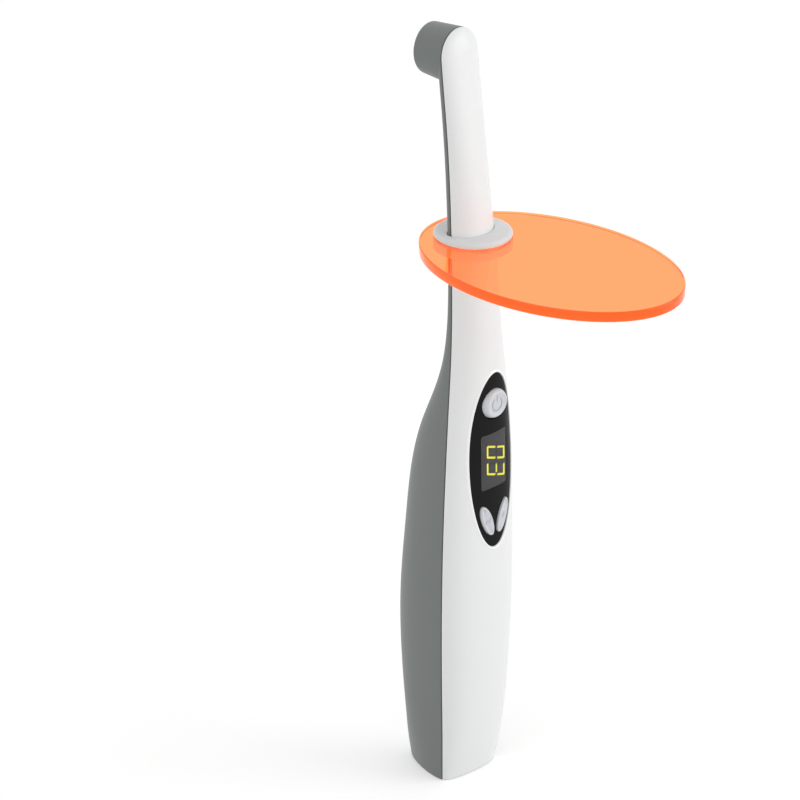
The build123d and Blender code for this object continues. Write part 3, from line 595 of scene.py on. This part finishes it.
def frontSheet(inset):
    # one face of the front shell's wall: the grid, the rings round the panel's recess and the dome
    grid = formGrid(-1, inset)
    rowCount, columnCount = grid.shape[:2]
    vertices = list(grid.reshape(-1, 3))
    outerHeights = formGrid(-1, 0.0)[:, 0, 2]
    low, high = (int(np.argmin(abs(outerHeights - panel[key]))) for key in ("gridBelow", "gridAbove"))
    left = panel["gridColumn"]
    right = columnCount - 1 - left
    faces = gridFaces(rowCount, columnCount,
                      lambda row, column: low <= row < high and left <= column < right)
    # spokes run from the grid's edge to the bead, over it and down the recess's wall
    edge = [(row, left) for row in range(low, high)]
    edge += [(high, column) for column in range(left, right)]
    edge += [(row, right) for row in range(high, low, -1)]
    edge += [(low, column) for column in range(right, left, -1)]
    rings = panel["bead"] + [(-panel["ledge"], panel["floor"])]
    border = panel["clearance"] + rings[0][0] + panel["beadBorder"]
    spokes = []
    for row, column in edge:
        a = 2 * (column - left) / (right - left) - 1
        b = 2 * (row - low) / (high - low) - 1
        start = grid[row, column][::2]
        lip = np.array(outlinePoint(a, b, border))
        places = [(*(start + (lip - start) * share), inset) for share in panel["spokeShares"]]
        places += [outlinePoint(a, b, panel["clearance"] + margin) + (inset or depth,)
                   for margin, depth in rings]
        spokes.append([row * columnCount + column, *range(len(vertices), len(vertices) + len(places))])
        vertices += [np.array((x, frontSurface(x, z, depth), z)) for x, z, depth in places]
    faces += ribbonFaces(spokes + spokes[:1])
    # half dome over the head: arcs that join the left half of the last row to the right half
    last = (rowCount - 1) * columnCount
    middle = columnCount // 2
    arcs = [[last + column for column in range(middle + 1)]]
    for turn in domeTurns:
        arcs.append([*range(len(vertices), len(vertices) + middle), last + middle])
        vertices += [domePoint(point, turn) for point in grid[-1, :middle]]
    arcs.append([last + columnCount - 1 - column for column in range(middle + 1)])
    return vertices, faces + ribbonFaces(arcs)


def domePoint(point, turn):
    # a point of the form's last row, turned over the head from the left towards the right
    offset = point - headCentre
    across = np.array((offset[0], 0, 0))
    return headCentre + offset - across + across * cos(turn) - headUp * offset[0] * sin(turn)


# the front shell's edges that are glossier and carry a painted highlight, a brighter white than the
# shell: how far they reach beside the seam and round the bead
glossAndHighlight = {"rim": 0.6, "besideSeam": 0.34, "beadBand": 1.5, "beadProud": 0.05}


def isGlossAndHighlightEdge(centre):
    x, y, z = centre
    reach = form["seamGap"] / 2 + glossAndHighlight["besideSeam"]
    if z < headCentre[2]:
        atRim = abs(x) > formTable(z)[1] - glossAndHighlight["rim"]
        onBead = (abs(z - panel["height"]) < panel["length"] / 2 + glossAndHighlight["beadBand"]
                  and frontSurface(x, z) - y > glossAndHighlight["beadProud"])
        return onBead or atRim and formTable(z)[2] - y < reach
    offset = np.array(centre) - headCentre
    return -offset @ headForward < reach and math.hypot(x, offset @ headUp) > rows[-1][1] - glossAndHighlight["rim"]


def buildFrontShell():
    outer, faces = frontSheet(0.0)
    inner = frontSheet(form["wall"])[0]
    piece = addPiece("front_shell_form", *closedShell(outer, inner, faces), 40, "handpiece",
                     "white_shell", "front_shell")
    # the edges beside the seam and round the bead take the brighter white of the painted highlight
    piece.data.materials.append(finishes["white_edge_highlight"])
    for face in piece.data.polygons:
        if isGlossAndHighlightEdge([c / mm for c in face.center]):
            face.material_index = 1


barrel = {
    "length": 10.1,
    "rootRadius": 7.45,
    "endRadius": 7.3,
    "edgeRound": 0.5,
    "edgeSteps": 7,
    "drop": 1.9,  # how much deeper the barrel is on its underside, at the neck
    "bore": 5.95,
    "lipRadius": 4.85,
    "lipFlare": 0.5,
    "lipChamfer": (0.08, 0.06),
    "lipThickness": 0.8,
    "around": 96,
}
# for the contact plate
tailOpening = {"length": 11.2, "width": 5.8, "low": -1.0, "high": 3.0, "steps": 17}


def barrelProfile():
    gap, end = form["seamGap"] / 2, barrel["length"]
    root = rounding(form["seamRound"], (*form["seamTurns"], 0)).T
    edge = rounding(barrel["edgeRound"], np.linspace(0, 90, barrel["edgeSteps"])).T
    flare = barrel["lipRadius"] + barrel["lipFlare"]
    wide, deep = barrel["lipChamfer"]
    shelf = end - barrel["lipThickness"]
    profile = [(barrel["rootRadius"] - drawn, gap + rise) for drawn, rise in root]
    profile += [(barrel["endRadius"] - drawn, end - rise) for drawn, rise in edge]
    return profile + [(flare + wide, end), (flare, end - deep), (barrel["lipRadius"], shelf),
                      (barrel["bore"], shelf), (barrel["bore"], gap)]


def barrelDrop(radius, distance):
    # how far the barrel's lowest line lies under the round one
    if radius <= barrel["bore"]:
        return 0.0
    return barrel["drop"] * (barrel["length"] - distance) / (barrel["length"] + form["seamGap"])


def turnedMesh(name, profile, around, drop=lambda radius, distance: 0.0):
    # a profile of distances out from the head's axis and along it, turned about that axis
    vertices = []
    for turn in fullTurn(around):
        outward = np.array((cos(turn), 0, 0)) + headUp * sin(turn)
        down = headUp * min(sin(turn), 0)
        vertices += [headCentre + outward * radius + down * drop(radius, distance)
                     + headForward * distance for radius, distance in profile]
    piece = newPiece(name, vertices, loopFaces(around, len(profile)))
    tidyMesh(piece)
    return piece


def stadiumPrism(length, width, low, high, steps):
    # a closed prism with round ends, standing along Z
    radius = width / 2
    reach = length / 2 - radius
    outline = arcPoints(reach, 0, radius, -90, 90, steps) + arcPoints(-reach, 0, radius, 90, 270, steps)
    count = len(outline)
    vertices = [(x, y, z) for z in (low, high) for x, y in outline]
    ends = [tuple(range(count)), tuple(reversed(range(count, 2 * count)))]
    return vertices, loopFaces(2, count, closed=False) + ends


def buildBackShell():
    outer, inner = formGrid(1, 0.0), formGrid(1, form["wall"])
    sheets = [list(grid.reshape(-1, 3)) for grid in (outer, inner)]
    piece = newPiece("back_shell_form", *closedShell(*sheets, gridFaces(*outer.shape[:2])))
    tidyMesh(piece)
    cutter = newPiece("opening", *stadiumPrism(**tailOpening))
    tidyMesh(cutter)
    piece.modifiers.new("opening", "BOOLEAN").object = cutter
    bake(piece)
    bpy.data.objects.remove(cutter)
    tube = turnedMesh("barrel", barrelProfile(), barrel["around"], barrelDrop)
    work = bmesh.new()
    for part in (piece, tube):
        work.from_mesh(part.data)
    work.to_mesh(piece.data)
    work.free()
    bpy.data.objects.remove(tube)
    settle(piece, 40, "handpiece", "grey_shell", "back_shell")


seamTongue = {"outer": 0.9, "inner": 1.4}  # depths under the form


def seamRail(facing, inset):
    # the shell's edge beside the seam: from the tail's middle up the left, over the head and back down
    grid = formGrid(facing, inset)
    dome = [domePoint(grid[-1, 0], turn) for turn in domeTurns]
    return list(grid[:, 0]) + dome + list(grid[:0:-1, -1])


def buildSeamTongue():
    # the tongue in the rebate, so that no light passes through the gap between the shells
    outer, inner = seamTongue["outer"], seamTongue["inner"]
    rails = [seamRail(facing, inset)
             for facing, inset in ((-1, outer), (1, outer), (1, inner), (-1, inner))]
    vertices = [point for rail in rails for point in rail]
    addPiece("seam_tongue", vertices, loopFaces(len(rails), len(rails[0])), 40, "handpiece", "grey_shell")


buildFrontShell()
buildBackShell()
buildSeamTongue()
print("housing made")


def buildStrokeTree():
    # a flat raised line along a path that lies in a front face
    tree, given, out = startGroup(
        "raisedStroke", "GeometryNodeTree",
        {"Geometry": "Geometry", "Stroke": "Float", "Depth": "Float", "Corner": "Float",
         "Finish": "Material"}, {"Geometry": "Geometry"})
    path = addNode(tree, "MeshToCurve", {"Mesh": (given, "Geometry")})
    corners = addNode(tree, "FilletCurve", {"Curve": (path, "Curve")})
    corners.mode = "POLY"
    setSockets(corners, {"Radius": (given, "Corner"), "Count": 3, "Limit Radius": True})
    facing = addNode(tree, "SetCurveNormal", {"Curve": (corners, "Curve")})
    facing.mode = "FREE"
    setSockets(facing, {"Normal": (0, 1, 0)})
    profile = addNode(tree, "CurvePrimitiveQuadrilateral",
                      {"Width": (given, "Depth"), "Height": (given, "Stroke")})
    sweep = addNode(tree, "CurveToMesh", {"Curve": (facing, "Curve"), "Profile Curve": (profile, "Curve"),
                                          "Fill Caps": True})
    real = addNode(tree, "RealizeInstances", {"Geometry": (sweep, "Mesh")})
    finish = addNode(tree, "SetMaterial", {"Geometry": (real, "Geometry"), "Material": (given, "Finish")})
    setSockets(out, {"Geometry": (finish, "Geometry")})
    return tree


strokeTree = buildStrokeTree()
strokeInputs = {item.name: item.identifier for item in strokeTree.interface.items_tree
                if item.in_out == "INPUT"}
strokeStep = 1.5  # longest stretch of a stroke that stays straight over a curved face


def divided(path, step):
    # the path's points and more between them, without the last one
    points = []
    for (x0, z0), (x1, z1) in zip(path, path[1:]):
        parts = max(1, round(math.dist((x0, z0), (x1, z1)) / step))
        points += [(x0 + (x1 - x0) * k / parts, z0 + (z1 - z0) * k / parts) for k in range(parts)]
    return points


def strokePiece(name, paths, surface, sizes, finish, slot, body, *stoodFor):
    # paths are lists of (x, z) points; the lines lie on the surface, which gives y at (x, z)
    vertices, edges = [], []
    for path in paths:
        fine = divided(path, strokeStep) + [path[-1]]
        edges += [(k, k + 1) for k in range(len(vertices), len(vertices) + len(fine) - 1)]
        vertices += [(x, surface(x, z), z) for x, z in fine]
    piece = newPiece(name, vertices, [], edges)
    sweep = piece.modifiers.new("stroke", "NODES")
    sweep.node_group = strokeTree
    for key, size in sizes.items():
        sweep[strokeInputs[key]] = size * mm
    sweep[strokeInputs["Finish"]] = finishes[finish]
    bake(piece)
    tidyMesh(piece)
    settle(piece, 30, body, slot, *stoodFor)
    piece.data.materials[0] = finishes[finish]


display = {
    "width": 10.28,
    "length": 16.18,
    "corner": 0.35,
    "cornerSteps": 6,
    "windowTop": 0.02,  # depths under the form
    "windowBottom": 0.1,
    "filmTop": 0.16,
    "filmBottom": 0.5,
    "plateEdge": [(0.12, 0.0), (0.04, 0.01), (0.0, 0.04)],  # distance inside the outline and depth
    "plateRings": 7,
    "plateStep": 0.8,
    "digitHeight": 7.6,
    "digitWidth": 3.8,
    "digitPitch": 4.95,
    "digitShift": (0.6, -0.5),
    "slant": 0.31,  # lean of the digits, which lie on their side
    "bar": {"Stroke": 0.58, "Depth": 0.05, "Corner": 0.18},
    "barGap": 0.95,
    "barSink": 0.14,
}


def curvedPlate(name, topInset, bottomInset, slot, *stoodFor):
    # a thin plate with round corners that follows the form, with softened front edges
    halfWidth, halfLength, corner = display["width"] / 2, display["length"] / 2, display["corner"]
    outline = []
    for sideX, sideZ, first in ((1, -1, -90), (1, 1, 0), (-1, 1, 90), (-1, -1, 180)):
        outline += arcPoints(sideX * (halfWidth - corner), sideZ * (halfLength - corner), corner,
                             first, first + 90, display["cornerSteps"])
    full = divided(outline + outline[:1], display["plateStep"])
    steps = display["plateRings"]
    edge = [(1 - inside / halfWidth, topInset + depth) for inside, depth in display["plateEdge"]]
    rings = [(edge[0][0] - k / steps, topInset) for k in range(steps - 1, 0, -1)] + edge
    rings += [(1 - k / steps, bottomInset) for k in range(steps)]
    place = lambda x, z, inset: (x, frontSurface(x, panel["height"] + z, inset), panel["height"] + z)
    vertices = [place(x * share, z * share, inset) for share, inset in rings for x, z in full]
    vertices += [place(0, 0, topInset), place(0, 0, bottomInset)]
    count, middle = len(full), len(vertices) - 2
    faces = loopFaces(len(rings), count, closed=False)
    faces += capFaces(0, count, middle) + capFaces(middle - count, count, middle + 1)
    addPiece(name, vertices, faces, 45, "handpiece", slot, *stoodFor)


def digitPaths(centre, halves):
    # strokes of one digit on its side; each is given in half heights across and half widths up
    high = (display["digitHeight"] - display["bar"]["Stroke"]) / 2
    wide = (display["digitWidth"] - display["bar"]["Stroke"]) / 2
    gap = display["barGap"] / 2
    shiftX, shiftZ = display["digitShift"]
    paths = []
    for path in halves:
        points = [(math.copysign(max(abs(a) * high, gap), a) if a else 0.0, b * wide) for a, b in path]
        paths.append([(x + shiftX, centre + shiftZ + z - display["slant"] * x) for x, z in points])
    return paths


def buildDisplay():
    curvedPlate("display_window_form", display["windowTop"], display["windowBottom"], "window_smoke",
                "display_window")
    curvedPlate("display_film", display["filmTop"], display["filmBottom"], "module_grey")
    upper = panel["height"] + display["digitPitch"] / 2
    lower = panel["height"] - display["digitPitch"] / 2
    near = 1e-6  # beside the gap in the digit's middle, on one side of it
    zero = [[(near, 1), (1, 1), (1, -1), (near, -1)], [(-near, 1), (-1, 1), (-1, -1), (-near, -1)]]
    three = [[(1, 0.95), (1, -1), (near, -1)], [(-1, 0.95), (-1, -1), (-near, -1)],
             [(0, 0.95), (0, -0.6)]]
    dark = digitPaths(upper, [[(0, 0.6), (0, -0.6)]])
    dark += digitPaths(lower, [[(0.9, 1), (near, 1)], [(-0.9, 1), (-near, 1)]])
    bars = {"lit_bars": (digitPaths(upper, zero) + digitPaths(lower, three), "lit_segment"),
            "dark_bars": (dark, "dark_segment")}
    for name, (paths, slot) in bars.items():
        strokePiece(name + "_form", paths, lambda x, z: frontSurface(x, z, display["barSink"]),
                    display["bar"], slot, slot, "handpiece", name)


buildDisplay()
print("display made")

markProud = 0.02  # how far a mark's middle lies over its button
power = {
    "height": 112.3,
    # radius and height over the panel, from the middle outwards
    "crown": [(0.0, 0.66), (0.8, 0.66), (1.6, 0.66), (2.5, 0.67), (2.85, 0.7), (3.05, 0.76), (3.25, 0.85),
              (3.45, 0.89), (3.65, 0.87), (3.88, 0.74), (4.1, 0.48), (4.28, 0.14), (4.42, -0.2),
              (4.5, -0.55), (4.5, -1.2)],
    "stretch": (1.05, 0.94),  # the cap is a little wider than it is tall
    "around": 72,
    "symbolRadius": 1.95,
    "symbolOpening": 38.0,
    "symbolSteps": 25,
    "tick": (0.8, 2.6),
    "mark": {"Stroke": 0.42, "Depth": 0.12, "Corner": 0.0},
}


def buildPowerButton():
    base = frontSurface(0, panel["height"])
    radii, heights = np.array(power["crown"]).T
    wide, tall = power["stretch"]
    count = power["around"]
    vertices = [(radius * cos(turn) * wide, base - height,
                 power["height"] + radius * sin(turn) * tall)
                for radius, height in zip(radii[1:], heights[1:]) for turn in fullTurn(count)]
    last = len(vertices) - count
    vertices.append((0, base - heights[0], power["height"]))
    faces = loopFaces(len(radii) - 1, count, closed=False) + capFaces(0, count, last + count)
    addPiece("power_button_form", vertices, faces + [tuple(range(last, last + count))], 45, "power",
             "button_silver", "power_button")
    crown = lambda x, z: base - np.interp(math.hypot(x, z - power["height"]), radii, heights) - markProud
    opening = power["symbolOpening"]
    arc = arcPoints(0, power["height"], power["symbolRadius"], 90 + opening, 450 - opening,
                    power["symbolSteps"])
    tick = [(0, power["height"] + rise) for rise in power["tick"]]
    # the symbol's darker grey is painted shade for an engraved mark
    strokePiece("power_mark", [arc, tick], crown, power["mark"], "mark_shade_grey", "button_silver", "power")


buildPowerButton()

sideButtons = {
    "height": 78.1,
    "offset": 3.2,
    "slant": 22.0,
    "length": 9.8,
    "width": 3.6,
    # distance inside the outline and height over the form
    "rings": [(0.0, -1.2), (0.0, 0.1), (0.05, 0.28), (0.15, 0.43), (0.28, 0.52), (0.4, 0.53), (0.5, 0.49),
              (0.6, 0.43), (0.8, 0.4), (1.15, 0.4)],
    "face": 0.4,
    "around": 64,
    "mark": {"Stroke": 0.3, "Depth": 0.12, "Corner": 0.0},
    # side of the middle, and plain marks in the button's own directions from its middle
    "each": {"mode": (-1, [[(-1.05, -0.5), (-0.35, 0.5), (0.35, -0.5), (1.05, 0.5)]]),
             "time": (1, [[(0.0, -0.9), (0.0, 0.9)], [(-0.8, 0.0), (0.8, 0.0)]])},
}


def buildSideButton(name, side, marks):
    # an oval cap with a raised rim that follows the form
    long, wide = sideButtons["length"] / 2, sideButtons["width"] / 2
    slant = side * math.radians(sideButtons["slant"])
    up = np.array((sin(slant), cos(slant)))
    across = np.array((up[1], -up[0]))
    middle = np.array((side * sideButtons["offset"], sideButtons["height"]))
    count, face = sideButtons["around"], sideButtons["face"]
    vertices = []
    for inset, height in sideButtons["rings"]:
        for turn in fullTurn(count):
            normal = across * cos(turn) / wide + up * sin(turn) / long
            normal /= np.linalg.norm(normal)
            x, z = middle + across * wide * cos(turn) + up * long * sin(turn) - normal * inset
            vertices.append((x, frontSurface(x, z, -height), z))
    last = len(vertices) - count
    vertices.append((middle[0], frontSurface(*middle, -face), middle[1]))
    faces = loopFaces(len(sideButtons["rings"]), count, closed=False)
    faces += capFaces(last, count, last + count) + [tuple(range(count))]
    addPiece(name + "_button_form", vertices, faces, 50, name, "button_silver", name + "_button")
    placed = [[tuple(middle + across * x + up * z) for x, z in path] for path in marks]
    # the marks' darker grey is painted shade for engraved marks
    strokePiece(name + "_mark", placed, lambda x, z: frontSurface(x, z, -face - markProud),
                sideButtons["mark"], "mark_shade_grey", "button_silver", name)


for name, (side, marks) in sideButtons["each"].items():
    buildSideButton(name, side, marks)
print("buttons made")

# distances out from the head's axis, and along it from the seam
optics = {
    "around": 96,
    "seal": [(4.65, 8.9), (5.85, 8.9), (5.85, 9.3), (4.65, 9.3)],
    "lensBack": [(0.0, 7.2), (5.75, 7.2), (5.85, 7.3), (5.85, 8.9)],
    "lensRim": 8.9,
    "lensBulge": 0.9,
    "lensCrown": 4.6,
    "throat": (2.6, 3.6),
    "mouth": (4.9, 7.2),
    "reflectorBack": [(5.85, 7.2), (5.85, 6.4), (4.6, 5.3), (3.4, 4.0), (3.0, 3.6)],
    "curveSteps": 17,
}


def buildOptics():
    crown = [(optics["lensCrown"] * t, optics["lensRim"] + optics["lensBulge"] * (1 - t * t))
             for t in np.linspace(1, 0, optics["curveSteps"])]
    # the bowl opens like a parabola from the throat to the mouth
    (throat, low), (mouth, high) = optics["throat"], optics["mouth"]
    bowl = [(radius, low + (high - low) * (radius ** 2 - throat ** 2) / (mouth ** 2 - throat ** 2))
            for radius in np.linspace(throat, mouth, optics["curveSteps"])]
    profiles = {
        "lens_seal": (optics["seal"], "seal_rubber"),
        "lens": (optics["lensBack"] + crown, "lens_glass"),
        "reflector": (bowl + optics["reflectorBack"], "reflector_mirror"),
    }
    for name, (profile, slot) in profiles.items():
        settle(turnedMesh(name + "_form", profile, optics["around"]), 40, "handpiece", slot, name)


buildOptics()
print("optics made")

shield = {
    "length": 83.0,
    "width": 56.0,
    "thickness": 3.0,
    "bottom": 157.0,
    "reach": 28.2,  # from the collar's middle to the disc's middle
    "hole": 9.6,
    "collarY": -8.6,
    "edgeRound": 0.35,
    "edgeSteps": 5,
    "border": 0.12,  # narrow ring that each flat face keeps inside its rounded edge
    "around": 160,
    "tilt": 1.35,  # the disc hangs a little towards its far end
    "tiltAt": -37.0,
}


def discLift(y):
    return (y - shield["tiltAt"]) * math.tan(math.radians(shield["tilt"]))


def buildShieldDisc():
    # an oval plate with polished rounded edges, round a hole for the collar
    low, high = shield["bottom"], shield["bottom"] + shield["thickness"]
    semiX, semiY = shield["width"] / 2, shield["length"] / 2
    edge = shield["edgeRound"]
    profile = [(edge + shield["border"], 0), *rounding(edge, np.linspace(90, 0, shield["edgeSteps"])).T]
    vertices = []
    for turn in fullTurn(shield["around"]):
        # the spoke leaves the collar's middle and meets the oval
        direction = np.array((sin(turn), -cos(turn)))
        a = (direction[0] / semiX) ** 2 + (direction[1] / semiY) ** 2
        b = direction[1] * shield["reach"] / semiY ** 2
        c = (shield["reach"] / semiY) ** 2 - 1
        point = direction * (-b + math.sqrt(b * b - a * c)) / a
        normal = np.array((point[0] / semiX ** 2, (point[1] + shield["reach"]) / semiY ** 2))
        normal /= np.linalg.norm(normal)
        hole = direction * shield["hole"]
        ring = [(hole, low), (hole, high)]
        ring += [(point - normal * inset, high - drop) for inset, drop in profile]
        ring += [(point - normal * inset, low + drop) for inset, drop in reversed(profile)]
        for (x, y), z in ring:
            y += shield["collarY"]
            vertices.append((x, y, z + discLift(y)))
    size = len(vertices) // shield["around"]
    addPiece("shield_disc_form", vertices, loopFaces(shield["around"], size), 30, "shield",
             "shield_orange", "shield_disc")


buildShieldDisc()

collar = {
    "radius": 11.0,
    "hub": 9.58,
    "top": 162.0,
    "bottom": 155.0,
    "topRound": (1.1, 8),  # radius and number of points
    "bottomRound": (0.5, 5),
    # the hole's heights and its distance from the neck, up to the lip
    "hole": [(155.3, 0.3), (160.8, 0.3), (161.2, 0.1), (161.8, 0.1)],
    "topFlare": 0.2,
    "bottomFlare": 0.3,
    "grooveEdge": 0.12,
    "grooveRound": 0.2,
    "grooveGap": 0.02,
    "around": 128,
}


def neckReach(height, margin):
    # the neck's outline round the collar's middle, as a distance for each spoke
    loop = np.concatenate((sectionLine(height, -1, -margin), sectionLine(height, 1, -margin)))
    along, across = shield["collarY"] - loop[:, 1], loop[:, 0]
    angles = np.arctan2(across, along)
    order = np.argsort(angles)
    return np.interp(fullTurn(collar["around"]), angles[order], np.hypot(across, along)[order],
                     period=2 * math.pi)


def buildCollar():
    # a soft ring with a groove; its hole follows the neck and closes to a lip at the top
    top, bottom, outer, hub = (collar[key] for key in ("top", "bottom", "radius", "hub"))
    above = shield["bottom"] + shield["thickness"] + collar["grooveGap"]
    below = shield["bottom"] - collar["grooveGap"]
    rim = outer - collar["grooveEdge"]
    # distance from the middle, height, and 1 where the point follows the tilted disc
    radius, count = collar["topRound"]
    fixed = [(outer - drawn, top - rise, 0)
             for drawn, rise in rounding(radius, np.linspace(90, 0, count)).T]
    fixed += [(rim, above, 1), (hub, above, 1), (hub, below, 1), (rim, below, 1),
              (outer, shield["bottom"] - collar["grooveRound"], 1)]
    radius, count = collar["bottomRound"]
    fixed += [(outer - drawn, bottom + rise, 0)
              for drawn, rise in rounding(radius, np.linspace(0, 90, count)).T]
    holes = [(z, neckReach(z, margin)) for z, margin in collar["hole"]]
    vertices = []
    for i, turn in enumerate(fullTurn(collar["around"])):
        spoke = [(reaches[i], z, 0) for z, reaches in holes]
        spoke += [(spoke[-1][0] + collar["topFlare"], top, 0), *fixed,
                  (spoke[0][0] + collar["bottomFlare"], bottom, 0)]
        for reach, z, follows in spoke:
            y = shield["collarY"] - reach * cos(turn)
            vertices.append((reach * sin(turn), y, z + follows * discLift(y)))
    size = len(vertices) // collar["around"]
    addPiece("shield_collar_form", vertices, loopFaces(collar["around"], size), 40, "shield",
             "collar_silicone", "shield_collar")


buildCollar()
print("shield made")


def smoothCopy(name, body):
    # a CAD node's own shape with its facets merged and shaded smooth
    piece = addObject(name + "_form", nodes[name].data.copy())
    tidyMesh(piece, recalculate=False)
    settle(piece, 30, body, slotOf[name], name)


for name in ("control_panel", "display_module", "led_emitter", "led_board", "heat_sink", "contact_plate",
             "charge_contacts"):
    smoothCopy(name, "handpiece")
print("smaller pieces made")

# Plain floor, soft lamps and a white surround

room = {
    "floorSize": 6.0,  # metres
    "floorColour": 0.82,
    "floorRoughness": 0.9,
    "floorLift": 0.35,  # what the camera sees on top of the lit floor
    "ambient": 0.7,
}


def buildRoom():
    half = room["floorSize"] / 2
    mesh = bpy.data.meshes.new("floor")
    mesh.from_pydata([(-half, -half, 0), (half, -half, 0), (half, half, 0), (-half, half, 0)], [],
                     [(0, 1, 2, 3)])
    floor = addObject("floor", mesh)
    direct = ("Camera", "Glossy", "Transmission")
    material, tree, shader = startMaterial("floor")
    lift = addNode(tree, "Math", {0: seenBy(tree, *direct), 1: room["floorLift"]}, "MULTIPLY")
    setSockets(shader, {"Base Color": (room["floorColour"],) * 3 + (1,),
                        "Roughness": room["floorRoughness"], "Specular IOR Level": 0.0,
                        "Emission Color": (1, 1, 1, 1), "Emission Strength": (lift, "Value")})
    mesh.materials.append(material)
    world = bpy.data.worlds.new("world")
    world.use_nodes = True
    bpy.context.scene.world = world
    tree = world.node_tree
    level = addNode(tree, "MapRange", {"Value": seenBy(tree, *direct), "To Min": room["ambient"],
                                       "To Max": 1.0})
    setSockets(tree.nodes["Background"], {"Color": (1, 1, 1, 1), "Strength": (level, "Result")})


lampAim = (0, 0, 110)
lamps = {
    # direction from the object, distance and size in metres, and power
    "key": ((0.6, -1.0, 0.35), 1.3, 1.0, 5.3),
    "fill": ((-1.0, -0.15, 0.2), 1.1, 0.9, 1.15),
    "top": ((0.2, 0.5, 1.0), 1.2, 0.9, 0.75),
}


def buildLamps():
    for name, (direction, distance, size, strength) in lamps.items():
        data = bpy.data.lights.new(name, "AREA")
        data.size = size
        data.energy = strength
        lamp = addObject(name, data)
        toward = Vector(direction).normalized()
        lamp.location = Vector(lampAim) * mm + toward * distance
        lamp.rotation_euler = toward.to_track_quat("Z", "Y").to_euler()


buildRoom()
buildLamps()
print("room and lamps made")
